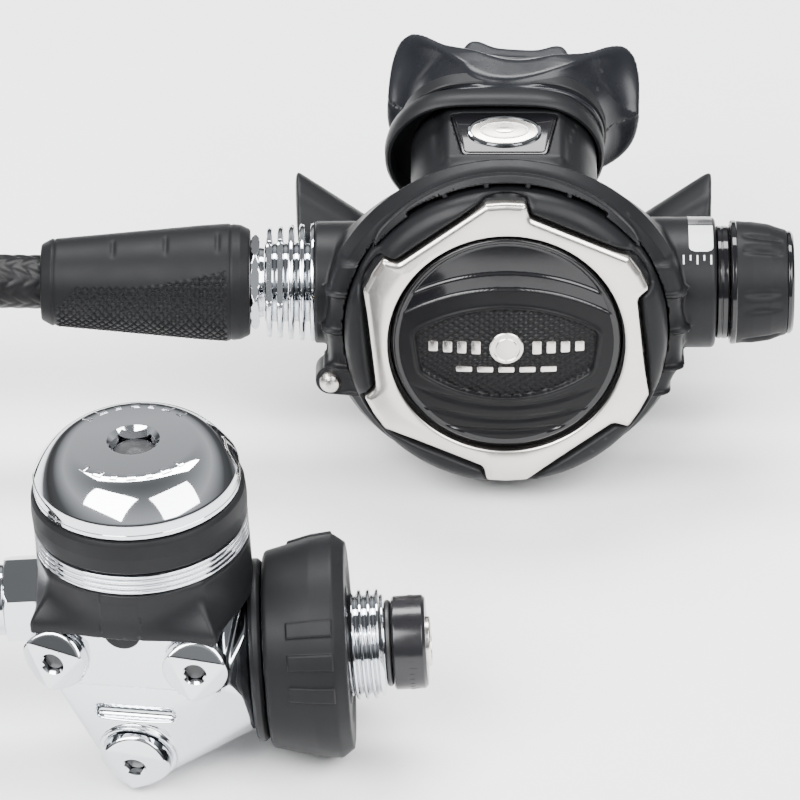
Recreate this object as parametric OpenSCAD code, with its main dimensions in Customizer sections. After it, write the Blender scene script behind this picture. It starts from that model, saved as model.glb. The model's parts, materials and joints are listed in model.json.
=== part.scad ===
// Scuba regulator set: a sealed diaphragm first stage with a threaded cylinder connector,
// a braided low-pressure hose and a downstream second stage with a mouthpiece.
// Millimetres, +Z up, the floor is z = 0. The origin is under the middle of the two stages.
// The first stage stands at the front left, the second stage lies behind it on its lower edge.

/* [First stage] */
// Radius of the domed cap
cap_r = 21.4; // [21:0.1:22]
// Height of the cap's flat top above the first stage's foot
cap_top = 75.4; // [75:0.1:77]
// Height of the connector's axis
din_z = 21.4; // [21:0.1:22]
// Height of the two front low-pressure ports
port_z = 33.9; // [33:0.1:34.5]
// Turn of the flat port face away from the connector's axis, degrees
face_turn = -12; // [-14:1:-8]
// Sideways lean of the whole first stage, degrees
first_lean = 3.5; // [2:0.5:4]

/* [Cylinder connector] */
// Major radius of the G 5/8 connector thread
thread_r = 11.45; // [11.4:0.01:11.5]
// Exposed length of the thread
thread_len = 7.3; // [6:0.1:7.3]
// Radius of the rubber handwheel
wheel_r = 23.4; // [22:0.1:23.6]
// Width of the handwheel
wheel_w = 17.3; // [17:0.1:17.4]

/* [Second stage] */
// Radius of the case
case_r = 39.7; // [39.5:0.1:40]
// Radius of the front cover
cover_r = 35.2; // [35:0.1:35.3]
// Radius of the purge button
button_r = 25.1; // [24.5:0.1:25.2]
// Radius of the trim ring over its lobes
lobe_r = 33.5; // [33:0.1:34.5]
// Radius of the left, hose-side barrel
left_barrel_r = 13.4; // [13:0.1:14]
// Radius of the right, knob-side barrel
right_barrel_r = 14.3; // [14:0.1:14.6]
// Radius of the adjusting knob at its inner end
knob_r = 13.6; // [13:0.1:13.8]
// Backward tilt of the second stage, degrees
second_tilt = 7; // [6:0.5:8]
// Upward slope of the mouthpiece tube against the case, degrees
tube_slope = 18; // [16:1:19]

/* [Hose] */
// Diameter of the braided hose
hose_d = 12; // [11:0.5:12]
// Length of the rubber grip sleeve
grip_len = 46; // [45:0.5:46]

/* [Hidden] */
$fn = 64;

// Where the two stages lie: origin offset, first stage foot, second stage ring centre
centre_x = -7.3;
centre_y = 81.3;
first_at = [-50.3 - centre_x, -centre_y, 0.74];
second_at = [22.8 - centre_x, 90.6 - centre_y, 40.87];

// First stage levels, bottom to top
foot_z = 0.8;
shroud_z = 41.0;
body_top = 50.0;
ring_z = 51.6;
band_z = 56.6;
cap_z = 64.6;
clamp_r = 19;
diaphragm_t = 1;

// Connector stations along its own axis, from the first stage's axis
din_start = 8;
backing_x = 20.8;
wheel_x = 23.7;
thread_x = wheel_x + wheel_w;
closure_x = 49.9;
closure_end = 57;
stem_r = 7.5;

// Hose ports on the first stage
port_u = 12.45;
port_d = 20.5;
hose_port_y = 5;
nut_x = -21.5;
nut_len = 8.5;
ferrule_len = 18;

// Second stage stations: y runs from the trim ring to the mouthpiece
barrel_y = 24.5;
barrel_z = 3.1;
left_end = -41.9;
right_end = 46.1;
tube_at = [0, 32, 9];
tube_r = 12.5;
tube_half = 7.5;
tube_len = 38;
emblem_s = 21;
collar_s = 27.5;
collar_shift = -2;
grip_end = -55.9;
valve_z = -19;
pin_at = [-38.8, 0, -13];
lever_at = [8, 17];
lever_reach = 16;

// Hand-laid centreline of the hose: out of the grip, one and a half turns, up to the port
hose_route = [
    [-79, 115.5, 40.9], [-95, 115.5, 40.9], [-115, 116.5, 38], [-138, 118.5, 31],
    [-160, 119, 25], [-184, 114, 19], [-206, 100, 14], [-220, 80, 10], [-225, 57, 7],
    [-220, 33, 6], [-205, 13, 6], [-184, 0, 6], [-160, -5, 6], [-137, 0, 6],
    [-117, 14, 6], [-105, 34, 6], [-101, 58, 6], [-105, 81, 6], [-118, 101, 6],
    [-137, 113, 6], [-158, 116, 6], [-179, 111, 6], [-196, 98, 6], [-207, 79, 6],
    [-210, 58, 6], [-206, 38, 6], [-195, 21, 7.5], [-178, 10, 12], [-158, 6, 18],
    [-138, 5, 25], [-117, 5, 30], [-100.3, 5, 31]
];

// ---------- placing ----------

// First stage frame: its own axis is Z, the connector points along +X
module place_first() {
    translate(first_at) rotate([0, -first_lean, 0]) children();
}

// Connector frame: Z runs out along the connector, zero at the first stage's axis
module on_connector() {
    place_first() translate([0, 0, din_z]) rotate([0, 90, 0]) children();
}

// Port face frame: -Y is straight out of the flat face
module on_face() {
    place_first() rotate([0, 0, face_turn]) children();
}

// Hose port frame: Z runs out of the port towards the hose
module on_hose_port() {
    place_first() translate([0, hose_port_y, port_z]) rotate([0, -90, 0]) children();
}

// Second stage frame: -Y is the cover's normal, +X the knob side
module place_second() {
    translate(second_at) rotate([-second_tilt, 0, 0]) children();
}

// Second stage barrel frame: Z runs along the barrel towards the knob
module on_barrel() {
    place_second() translate([0, barrel_y, barrel_z]) rotate([0, 90, 0]) children();
}

// Cover frame: Z runs into the case, from the trim ring's face backwards
module on_cover() {
    place_second() rotate([-90, 0, 0]) children();
}

// Mouthpiece tube frame: Z runs along the tube towards the mouth, -Y is its upper side
module on_tube() {
    place_second() translate(tube_at) rotate([tube_slope - 90, 0, 0]) children();
}

// ---------- shared shapes ----------

// Ring from radius inner to radius outer, between two heights
module ring(outer, inner, low, high) {
    translate([0, 0, low]) difference() {
        cylinder(r = outer, h = high - low);
        translate([0, 0, -1]) cylinder(r = inner, h = high - low + 2);
    }
}

// Disc between two heights
module disc(radius, low, high) {
    translate([0, 0, low]) cylinder(r = radius, h = high - low);
}

// Hexagonal bar across_flats wide, between two heights
module hex_bar(across_flats, low, high) {
    translate([0, 0, low]) rotate(30) cylinder(r = across_flats / sqrt(3), h = high - low, $fn = 6);
}

// Oval bar: two round ends of radius r, half_gap either side of the middle
module oval_bar(r, half_gap, low, high) {
    hull() for (side = [-1, 1])
        translate([side * half_gap, 0, low]) cylinder(r = r, h = high - low, $fn = 32);
}

// Oval sleeve with a wall between r_in and r_out
module oval_sleeve(r_out, r_in, half_gap, low, high) {
    difference() {
        oval_bar(r_out, half_gap, low, high);
        oval_bar(r_in, half_gap, low - 1, high + 1);
    }
}

// Closed tube of the given radius swept along a list of points
module swept_tube(points, radius, sides) {
    count = len(points);
    function heading(i) = let (d = points[min(i + 1, count - 1)] - points[max(i - 1, 0)])
        d / norm(d);
    function side_of(t) = let (s = cross(t, abs(t[2]) > 0.9 ? [1, 0, 0] : [0, 0, 1]))
        s / norm(s);
    rings = [
        for (i = [0:count - 1])
            let (t = heading(i), s = side_of(t), u = cross(s, t))
            for (k = [0:sides - 1])
                points[i] + radius * (cos(360 * k / sides) * s + sin(360 * k / sides) * u)
    ];
    walls = [
        for (i = [0:count - 2], k = [0:sides - 1])
            let (a = i * sides + k, b = i * sides + (k + 1) % sides)
            [a, b, b + sides, a + sides]
    ];
    first_end = [for (k = [sides - 1:-1:0]) k];
    last_end = [for (k = [0:sides - 1]) (count - 1) * sides + k];
    polyhedron(points = rings, faces = concat(walls, [first_end, last_end]));
}

// Coil spring standing on z = low, with flat-lying end turns
module coil_spring(coil_r, wire_r, low, high, turns) {
    steps = turns * 12;
    rise = high - low - 2 * wire_r;
    path = [
        for (i = [0:steps])
            let (a = 360 * i / 12)
            [coil_r * cos(a), coil_r * sin(a), low + wire_r + rise * i / steps]
    ];
    swept_tube(path, wire_r, 6);
}

// Smooth curve through the route's points, halving each stretch
function smooth_point(p, i, t) =
    let (n = len(p) - 1, a = p[max(i - 1, 0)], b = p[i], c = p[min(i + 1, n)],
         d = p[min(i + 2, n)])
    0.5 * (2 * b + (c - a) * t + (2 * a - 5 * b + 4 * c - d) * t * t
        + (3 * b - a - 3 * c + d) * t * t * t);

function smooth_route(p) = concat(
    [for (i = [0:len(p) - 2], t = [0, 0.5]) smooth_point(p, i, t)], [p[len(p) - 1]]);

// ---------- first stage ----------

module first_body() {
    color("silver") difference() {
        union() {
            place_first() disc(clamp_r + 1, port_z, body_top);
            on_face() {
                hull() {
                    translate([-19.5, -port_d, 27.5]) cube([39, 6, 13]);
                    disc(19.5, 27.5, shroud_z - 0.5);
                }
                hull() {
                    translate([-17, -19.5, 26.5]) cube([34, 8, 1.5]);
                    disc(17, 26.5, 28);
                    disc(11, foot_z, 3);
                    translate([0, -17, 9.5]) rotate([105, 0, 0]) disc(8.8, -6, 1.5);
                    rotate([0, 0, -face_turn]) translate([0, 0, din_z]) rotate([0, 90, 0])
                        disc(17.2, 12, backing_x - 0.1);
                }
            }
            on_hose_port() disc(9.2, 8, 20.8);
        }
        place_first() {
            disc(17.5, 47, body_top + 1);
            disc(7, 12, 48);
            translate([0, 0, din_z]) rotate([0, 90, 0]) disc(6, 0, 22);
        }
        on_face() for (side = [-1, 1]) translate([side * port_u, 0, port_z])
            rotate([90, 0, side * 6.5]) {
                disc(4.4, 9.5, 30);
                disc(5.9, port_d - 1.65, 30);
                disc(7.3, port_d - 0.6, 30);
            }
        on_face() translate([0, -17, 9.5]) rotate([105, 0, 0]) disc(3.7, -9, 6);
        on_hose_port() disc(4.4, 9.5, 22);
    }
}

module top_cap() {
    color("silver") place_first() difference() {
        rotate_extrude() polygon([
            [0, cap_z], [cap_r, cap_z], [cap_r, cap_top - 7.2], [cap_r - 0.8, cap_top - 5.3],
            [cap_r - 2.7, cap_top - 3.5], [cap_r - 5.4, cap_top - 2], [cap_r - 8, cap_top - 1],
            [6, cap_top], [0, cap_top]
        ]);
        disc(clamp_r + 0.15, cap_z - 1, cap_z + 3);
        disc(clamp_r - 2, cap_z + 2, cap_z + 5);
        hex_bar(9, cap_top - 4.5, cap_top + 1);
    }
}

module cap_band() {
    color("dimgray") place_first() difference() {
        rotate_extrude() polygon([
            [0, band_z + 0.1], [22, band_z + 0.1], [22.3, band_z + 2], [22.2, cap_z - 1.6],
            [21.7, cap_z - 0.1], [0, cap_z - 0.1]
        ]);
        disc(clamp_r + 0.15, band_z - 1, cap_z + 1);
    }
}

module clamp_ring() {
    ridges = 4;
    pitch = (band_z - ring_z) / ridges;
    color("silver") place_first() {
        ring(21.4, clamp_r + 0.15, ring_z, band_z);
        for (i = [0:ridges - 1])
            ring(22.2, 21.3, ring_z + (i + 0.2) * pitch, ring_z + (i + 0.8) * pitch);
    }
}

module body_shroud() {
    color("dimgray") difference() {
        union() {
            place_first() ring(22.2, clamp_r + 1.1, shroud_z, ring_z - 0.1);
            on_face() translate([-4, -22.4, 37.8]) cube([8, 1.8, 8]);
        }
        on_hose_port() disc(10.2, 8, 30);
    }
}

module diaphragm_clamp() {
    color("darkgray") place_first() ring(clamp_r, 11.2, body_top + diaphragm_t + 0.05, cap_z + 1.4);
}

module environmental_diaphragm() {
    color("darkslategray") place_first() disc(16.8, cap_z + 1.5, cap_z + 2.5);
}

module load_transmitter() {
    color("gold") place_first() {
        disc(10, cap_z + 0.3, cap_z + 1.3);
        disc(2.2, body_top + 1.2, cap_z + 0.5);
        disc(6, body_top + 1.1, body_top + 1.9);
    }
}

module spring_adjuster() {
    color("gold") place_first() difference() {
        disc(11.1, 60, 63.4);
        hex_bar(8, 59, 65);
    }
}

module main_spring() {
    color("lightsteelblue") place_first() coil_spring(8.6, 0.8, body_top + 1.2, 59.9, 4);
}

module main_diaphragm() {
    color("darkslategray") place_first()
        ring(clamp_r, 9.5, body_top + 0.02, body_top + diaphragm_t);
}

module diaphragm_button() {
    color("gold") place_first() {
        disc(9.2, body_top, body_top + diaphragm_t);
        disc(6.5, body_top - 1.2, body_top + 0.1);
    }
}

module lift_pin() {
    color("lightsteelblue") place_first() disc(1, 37.8, body_top - 1.25);
}

module valve_seat() {
    color("gold") place_first() ring(6.95, 2.6, 39, 45);
}

module main_valve() {
    color("lightsteelblue") place_first() {
        disc(4.4, 28, 37.7);
        disc(1.6, 16.8, 28.5);
    }
}

module main_valve_spring() {
    color("lightsteelblue") place_first() coil_spring(3.6, 0.45, 16.5, 27.9, 5);
}

module balance_plug() {
    color("gold") place_first() ring(6.95, 1.75, 12.1, 16.4);
}

// Face plug: a chamfered disc with a small hexagon socket and a threaded shank
module port_plug(head_r, shank_r) {
    difference() {
        union() {
            disc(head_r, 0.9, 3);
            translate([0, 0, 3]) cylinder(r1 = head_r, r2 = head_r - 1.2, h = 1.2);
            disc(shank_r, -8, 1);
        }
        hex_bar(4, 0.5, 5);
    }
}

module front_port_plugs() {
    color("silver") on_face() for (side = [-1, 1]) translate([side * port_u, 0, port_z])
        rotate([90, 0, side * 6.5]) translate([0, 0, port_d - 1.4]) port_plug(6.9, 4.3);
}

module gauge_port_plug() {
    color("silver") on_face() translate([0, -17, 9.5]) rotate([105, 0, 0])
        translate([0, 0, 0.8]) port_plug(7.4, 3.6);
}

module plug_o_rings() {
    color("black") {
        on_face() for (side = [-1, 1]) translate([side * port_u, 0, port_z])
            rotate([90, 0, side * 6.5]) translate([0, 0, port_d - 1.1])
            rotate_extrude() translate([5.1, 0]) circle(r = 0.45, $fn = 16);
        on_hose_port() translate([0, 0, 21.2]) rotate_extrude() translate([5.3, 0])
            circle(r = 0.3, $fn = 16);
    }
}

// ---------- cylinder connector ----------

module din_stem() {
    color("silver") on_connector() difference() {
        union() {
            disc(5.95, din_start, backing_x);
            disc(12, backing_x, wheel_x - 0.5);
            disc(stem_r, wheel_x - 0.6, 49);
            disc(6.6, 48.9, 53);
        }
        disc(3.2, din_start - 1, 45);
        disc(5.3, 44, 54);
    }
}

module din_backing_ring() {
    color("dimgray") on_connector() difference() {
        rotate_extrude() polygon([
            [0, backing_x], [18.3, backing_x], [19.1, backing_x + 0.8], [19.1, wheel_x - 0.9],
            [18.6, wheel_x - 0.4], [0, wheel_x - 0.4]
        ]);
        disc(12.15, backing_x - 1, wheel_x);
    }
}

module handwheel() {
    groups = 3;
    pad_step = 17.5;
    color("dimgray") on_connector() difference() {
        union() {
            rotate_extrude() polygon([
                [0, wheel_x], [19, wheel_x], [20.6, wheel_x + 1.4], [wheel_r - 0.6, wheel_x + 9],
                [wheel_r, wheel_x + wheel_w - 3], [wheel_r - 1.8, wheel_x + wheel_w],
                [0, wheel_x + wheel_w]
            ]);
            for (g = [0:groups - 1], p = [-1:1])
                rotate([0, 0, 243.5 + g * 360 / groups + p * pad_step])
                    translate([18, -1.9, wheel_x + 5]) cube([wheel_r - 18 + 0.5, 3.8, 9.7]);
        }
        disc(10, wheel_x - 1, wheel_x + wheel_w + 1);
    }
}

module din_thread_sleeve() {
    color("silver") on_connector() difference() {
        union() {
            disc(9.95, wheel_x + 0.6, thread_x + 0.1);
            disc(thread_r, thread_x + 0.05, thread_x + thread_len);
        }
        disc(stem_r + 0.05, wheel_x - 1, 60);
    }
}

module closure_ring() {
    color("black") on_connector() difference() {
        disc(9.8, closure_x, closure_end);
        disc(6.65, closure_x - 1, 53.05);
        disc(5.3, closure_x, closure_end + 1);
    }
}

module closure_nose() {
    color("lightgray") on_connector() difference() {
        disc(5.22, 53.6, closure_end + 0.9);
        ring(4.1, 3, closure_end + 0.5, closure_end + 2);
    }
}

module closure_spring() {
    color("lightsteelblue") on_connector() coil_spring(4.2, 0.4, 45.2, 53.5, 4);
}

module din_o_ring() {
    color("black") on_connector() translate([0, 0, 49.1]) rotate_extrude()
        translate([8.35, 0]) circle(r = 0.7, $fn = 16);
}

module inlet_filter() {
    color("goldenrod") on_connector() translate([0, 0, 22]) cylinder(r1 = 3.1, r2 = 1.8, h = 16);
}

// ---------- hose ----------

module hose_nut() {
    color("silver") on_hose_port() difference() {
        union() {
            hex_bar(17, -nut_x, -nut_x + nut_len);
            disc(4.3, -nut_x - 9, -nut_x + 1);
        }
        disc(2.6, 0, 40);
    }
}

module hose_ferrule() {
    color("silver") on_hose_port() difference() {
        union() {
            disc(7.6, -nut_x + nut_len, -nut_x + nut_len + ferrule_len);
            for (i = [0:2])
                disc(8, -nut_x + nut_len + 2 + 5 * i, -nut_x + nut_len + 4.5 + 5 * i);
        }
        disc(2.6, 20, 60);
    }
}

module hose_tube() {
    color("black") swept_tube(
        [for (p = smooth_route(hose_route)) p - [centre_x, centre_y, 0]], hose_d / 2, 10);
}

module hose_grip() {
    far = grip_end - grip_len;
    color("dimgray") on_barrel() difference() {
        rotate_extrude() polygon([
            [0, far], [8.2, far], [9.6, far + 2.2], [10, far + 5], [12.6, grip_end - 9],
            [13, grip_end - 5], [12.4, grip_end - 1.6], [11.2, grip_end], [0, grip_end]
        ]);
        disc(4, far - 1, grip_end + 1);
    }
}

module swivel_nut() {
    color("silver") on_barrel() difference() {
        union() {
            hex_bar(18, grip_end + 0.05, grip_end + 2);
            disc(7.6, grip_end + 1.9, left_end - 11);
        }
        disc(4, -70, -40);
    }
}

module heat_exchanger() {
    fins = 5;
    fin_step = 2.4;
    color("silver") on_barrel() difference() {
        union() {
            disc(9.2, left_end - 10.9, left_end);
            for (i = [0:fins - 1])
                disc(12.6 + 0.2 * i, left_end - 10.9 + i * fin_step, left_end - 9.7 + i * fin_step);
        }
        disc(4, -70, -30);
    }
}

// ---------- second stage ----------

// Cross-section of the case from its front rim to its back
module case_shape() {
    rotate_extrude() polygon([
        [0, 5.5], [36.2, 5.5], [case_r, 9], [case_r, 12], [case_r - 2.2, 24],
        [case_r - 4.5, 30], [31, 36], [0, 36]
    ]);
}

module second_body() {
    color("dimgray") difference() {
        union() {
            on_cover() case_shape();
            on_barrel() {
                disc(left_barrel_r, left_end + 0.1, -20);
                disc(right_barrel_r, 20, right_end);
            }
            on_tube() {
                oval_bar(tube_r, tube_half, -8, tube_len);
                translate([-12.8, -12.9, emblem_s - 7.6]) cube([25.6, 8, 15.2]);
            }
            place_second() translate(pin_at) rotate([-90, 0, 0]) disc(3.6, 8.5, 14);
        }
        on_cover() {
            disc(cover_r + 0.3, 0, 10.25);
            disc(33, 9, 30);
            translate([0, 0, 29.9]) cylinder(r1 = 33, r2 = 29, h = 3.7);
        }
        on_barrel() {
            disc(7.15, -60, 60);
            disc(9.6, 44.2, 60);
        }
        on_tube() oval_bar(tube_r - 2, tube_half, -14, tube_len + 1);
        on_cover() translate([0, -valve_z, 0]) disc(9.5, 30, 40);
        place_second() translate(pin_at) rotate([-90, 0, 0]) disc(1.65, 0, 12);
        place_second() translate(pin_at) rotate([-90, 0, 0]) disc(2.8, 0, 8.5);
    }
}

module front_cover() {
    vents = 6;
    color("dimgray") on_cover() difference() {
        rotate_extrude() polygon([
            [0, 2], [32.6, 2], [cover_r, 3.6], [cover_r, 9.2], [0, 9.2]
        ]);
        disc(button_r + 0.3, 0, 6.6);
        disc(31.5, 7.8, 10);
        disc(5.6, 0, 10);
        for (i = [0:vents - 1]) rotate([0, 0, i * 360 / vents]) translate([15.5, 0, 0])
            disc(5.5, 5, 10);
    }
}

// Six-lobed outline: each lobe ends in a step on its clockwise side
module lobed_outline() {
    polygon([
        for (k = [0:5]) let (a = 98 - 60 * k)
            for (p = [[lobe_r, a], [lobe_r, a - 15], [lobe_r - 3.3, a - 17.5]])
                [p[0] * cos(p[1]), p[0] * sin(p[1])]
    ]);
}

module trim_ring() {
    color("lightgray") on_cover() mirror([0, 1, 0]) difference() {
        translate([0, 0, -0.9]) linear_extrude(2.85) lobed_outline();
        disc(25.8, -2, 3);
    }
}

module purge_button() {
    color("black") on_cover() {
        rotate_extrude() polygon([
            [0, -2.2], [8, -2.1], [16, -1.5], [22, -0.4], [24.6, 0.8], [button_r, 1.6],
            [button_r, 2.5], [0, 2.5]
        ]);
        disc(5.2, 2, 9.2);
    }
}

module purge_spring() {
    color("lightsteelblue") on_cover() coil_spring(7.2, 0.35, 2.6, 6.5, 3);
}

module second_diaphragm() {
    color("darkslategray") on_cover() ring(34.8, 12.6, 9.3, 10.2);
}

module diaphragm_disc() {
    color("lightgray") on_cover() disc(12.3, 9.35, 10.5);
}

module demand_lever() {
    color("lightsteelblue") place_second() translate([0, 0, barrel_z]) {
        translate([lever_at[0], lever_at[1], -4]) cylinder(r = 1, h = 8);
        hull() {
            translate([lever_at[0], lever_at[1], -2]) cylinder(r = 0.8, h = 4);
            translate([lever_at[0] - lever_reach, 11.9, -2]) cylinder(r = 0.8, h = 4);
        }
        translate([lever_at[0] - 0.7, lever_at[1], -1.8]) cube([1.4, 3, 3.6]);
    }
}

module air_barrel() {
    color("gold") on_barrel() difference() {
        disc(7, left_end + 0.1, 44);
        disc(5.2, left_end - 1, 45);
        translate([-3, -8, 3]) cube([6, 6, 10]);
        translate([-4, 3, -8]) cube([8, 6, 6]);
    }
}

module poppet() {
    color("white") on_barrel() {
        disc(4.6, -28, -20);
        disc(3, -20.5, 9.7);
        disc(4.6, 9.6, 12.2);
    }
}

module poppet_spring() {
    color("lightsteelblue") on_barrel() coil_spring(3.9, 0.45, 12.9, 23.4, 5);
}

module orifice() {
    color("gold") on_barrel() difference() {
        disc(5.1, -36, -29);
        disc(2.4, -37, -28);
    }
}

module adjusting_screw() {
    color("silver") on_barrel() {
        disc(4.9, 24.2, 34);
        disc(2.9, 33.9, 55);
    }
}

module knob_neck() {
    color("dimgray") on_barrel() difference() {
        union() {
            disc(12.4, right_end + 0.1, 49);
            disc(9.5, 44.3, right_end + 0.2);
        }
        disc(3, 40, 60);
    }
}

module adjust_knob() {
    flutes = 9;
    color("dimgray") on_barrel() difference() {
        rotate_extrude() polygon([
            [0, 49.3], [12.8, 49.3], [knob_r, 50.2], [knob_r, 52], [12.4, 58], [11.4, 62.4],
            [10.8, 62.8], [0, 62.8]
        ]);
        for (i = [0:flutes - 1]) rotate([0, 0, i * 360 / flutes])
            translate([14.6, 0, 52.5]) rotate([0, -10, 0]) disc(2.6, 0, 20);
        disc(8.3, 61.3, 64);
        disc(3, 49, 55.1);
    }
}

module knob_end_cap() {
    color("black") on_barrel() {
        disc(8.2, 61.4, 62.6);
        ring(8.2, 6.6, 62.5, 63.3);
    }
}

module venturi_vane() {
    color("gray") on_barrel() {
        ring(8.4, 7.06, -14, -8.5);
        translate([-1, 8, -13.5]) cube([2, 5, 4.5]);
    }
}

module exhaust_valve() {
    color("darkslategray") on_cover() translate([0, -valve_z, 0]) {
        disc(12.2, 36.1, 37);
        disc(2, 36.5, 39);
    }
}

module exhaust_tee() {
    color("dimgray") difference() {
        union() {
            on_cover() translate([0, -valve_z, 0]) disc(15.3, 36.1, 42);
            place_second() for (side = [-1, 1]) hull() {
                translate([-1, 38.2, -34]) cube([2, 14.5, 24]);
                translate([side * 46.4 - 0.6, 44, -1]) cube([1.2, 16.5, 16.5]);
            }
        }
        on_cover() translate([0, -valve_z, 0]) disc(13.6, 36, 41);
        place_second() for (side = [-1, 1]) hull() {
            translate([-1, 39.6, -32.4]) cube([2, 11.6, 20.8]);
            translate([side * 47.6 - 0.6, 45.5, 0.9]) cube([1.2, 13.5, 12.9]);
        }
    }
}

module mouthpiece() {
    arch = 88;
    color("black") on_tube() difference() {
        union() {
            oval_bar(14.4, tube_half, 33.8, 42);
            oval_bar(12.4, 9.5, 41.9, 47);
            rotate([90, 0, 0]) {
                translate([0, 0, -11.5]) linear_extrude(23) intersection() {
                    difference() {
                        translate([0, arch]) circle(r = 43);
                        translate([0, arch]) circle(r = 40);
                    }
                    translate([-28.5, 40]) square([57, 22]);
                }
                for (side = [-1, 1]) {
                    translate([0, 0, -8]) linear_extrude(16) intersection() {
                        difference() {
                            translate([0, arch]) circle(r = 34);
                            translate([0, arch]) circle(r = 31);
                        }
                        translate([side * 18 - 6, 50]) square([12, 16]);
                    }
                    translate([0, 0, -1.5]) linear_extrude(3) intersection() {
                        difference() {
                            translate([0, arch]) circle(r = 41);
                            translate([0, arch]) circle(r = 32);
                        }
                        translate([side * 18 - 6, 46]) square([12, 20]);
                    }
                }
            }
        }
        oval_bar(tube_r + 0.1, tube_half, 30, tube_len + 0.1);
        oval_bar(9, tube_half, 30, 50);
    }
}

module mouthpiece_clamp() {
    color("black") on_tube() {
        oval_sleeve(15.7, 14.7, tube_half, 35.5, 39.5);
        translate([5, 14.9, 35]) cube([5, 3, 5]);
    }
}

module tube_collar() {
    color("dimgray") on_tube() difference() {
        translate([collar_shift, 0, 0]) oval_bar(17, tube_half, collar_s, collar_s + 6);
        translate([collar_shift, 0, 0]) oval_bar(15.7, tube_half, collar_s - 1, collar_s + 4.8);
        oval_bar(tube_r + 0.1, tube_half, collar_s - 1, collar_s + 7);
    }
}

module emblem_plate() {
    color("black") on_tube() translate([0, -12.95, emblem_s]) rotate([90, 0, 0])
        linear_extrude(1.2) polygon([[-9.5, -7], [9.5, -7], [12, 7], [-12, 7]]);
}

module emblem_badge() {
    color("silver") on_tube() translate([0, -14.2, emblem_s + 0.6]) rotate([90, 0, 0])
        linear_extrude(0.8) scale([1, 0.62]) circle(r = 8.2);
}

module cover_pin() {
    color("silver") place_second() translate(pin_at) rotate([-90, 0, 0])
        rotate_extrude() polygon([
            [0, 6], [1, 6.2], [1.9, 6.9], [2.5, 8.4], [1.6, 8.45], [1.6, 11.9], [0, 11.9]
        ]);
}

first_body();
top_cap();
cap_band();
clamp_ring();
body_shroud();
diaphragm_clamp();
environmental_diaphragm();
load_transmitter();
spring_adjuster();
main_spring();
main_diaphragm();
diaphragm_button();
lift_pin();
valve_seat();
main_valve();
main_valve_spring();
balance_plug();
front_port_plugs();
gauge_port_plug();
plug_o_rings();
din_stem();
din_backing_ring();
handwheel();
din_thread_sleeve();
closure_ring();
closure_nose();
closure_spring();
din_o_ring();
inlet_filter();
hose_nut();
hose_ferrule();
hose_tube();
hose_grip();
swivel_nut();
heat_exchanger();
second_body();
front_cover();
trim_ring();
purge_button();
purge_spring();
second_diaphragm();
diaphragm_disc();
demand_lever();
air_barrel();
poppet();
poppet_spring();
orifice();
adjusting_screw();
adjust_knob();
knob_end_cap();
knob_neck();
venturi_vane();
exhaust_valve();
exhaust_tee();
mouthpiece();
mouthpiece_clamp();
tube_collar();
emblem_plate();
emblem_badge();
cover_pin();
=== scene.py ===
"""Looks of the scuba regulator set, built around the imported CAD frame.

Every piece is modelled in millimetres in one of the set's own frames (first stage, connector,
second stage, barrel, tube), which come from the record's joints, and is then put in place.
"""

import json
import math

import bmesh
import bpy
import numpy as np
from mathutils import Matrix, Vector


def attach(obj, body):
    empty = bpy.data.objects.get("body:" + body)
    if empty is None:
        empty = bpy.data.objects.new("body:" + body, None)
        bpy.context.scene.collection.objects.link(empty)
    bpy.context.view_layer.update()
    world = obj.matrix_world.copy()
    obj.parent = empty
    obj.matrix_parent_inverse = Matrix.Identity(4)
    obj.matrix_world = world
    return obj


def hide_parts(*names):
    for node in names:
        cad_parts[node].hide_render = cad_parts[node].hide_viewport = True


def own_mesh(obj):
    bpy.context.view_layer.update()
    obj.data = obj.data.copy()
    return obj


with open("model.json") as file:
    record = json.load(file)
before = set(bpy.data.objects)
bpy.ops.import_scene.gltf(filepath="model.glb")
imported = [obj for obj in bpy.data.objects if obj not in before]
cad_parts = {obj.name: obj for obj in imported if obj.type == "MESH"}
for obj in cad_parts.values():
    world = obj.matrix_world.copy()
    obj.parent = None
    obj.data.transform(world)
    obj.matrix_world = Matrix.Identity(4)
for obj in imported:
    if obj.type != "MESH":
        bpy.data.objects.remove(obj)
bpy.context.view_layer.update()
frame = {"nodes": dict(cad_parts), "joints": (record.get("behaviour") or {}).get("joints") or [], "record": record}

JOINTS = {joint["name"]: joint for joint in frame["joints"]}
FINISHES = {}


# ---------- frames, in millimetres ----------


def shift(x, y, z):
    """Frame moved by x, y, z."""
    m = np.eye(4)
    m[:3, 3] = x, y, z
    return m


def turn(axis, degrees):
    """Frame turned about one of its own axes."""
    return np.array(Matrix.Rotation(math.radians(degrees), 4, axis))


def frame_at(joint, x, z, offset):
    """Frame with the given x and z axes, where the joint's position has the local place offset."""
    x, z = np.array(x, float), np.array(z, float)
    m = np.eye(4)
    m[:3, 0], m[:3, 1], m[:3, 2] = x, np.cross(z, x), z
    m[:3, 3] = np.array(JOINTS[joint]["pos_m"]) * 1000 - m[:3, :3] @ np.array(offset)
    return m


# First stage: height of the port face's axes and of the connector; the hose port's offset
FACE_Z, CONNECTOR_Z, HOSE_Y, FACE_TURN = 33.9, 21.4, 5, 12
BOSS_Y, BOSS_Z, BOSS_TILT = -17, 9.5, 15
# Second stage: the barrel's axis, the exhaust's height and the mouthpiece tube's root and tilt
BARREL_Y, BARREL_Z, EXHAUST_Z = 24.5, 3.1, -19
TUBE_Y, TUBE_Z, TUBE_TILT = 32, 9, 18

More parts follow.
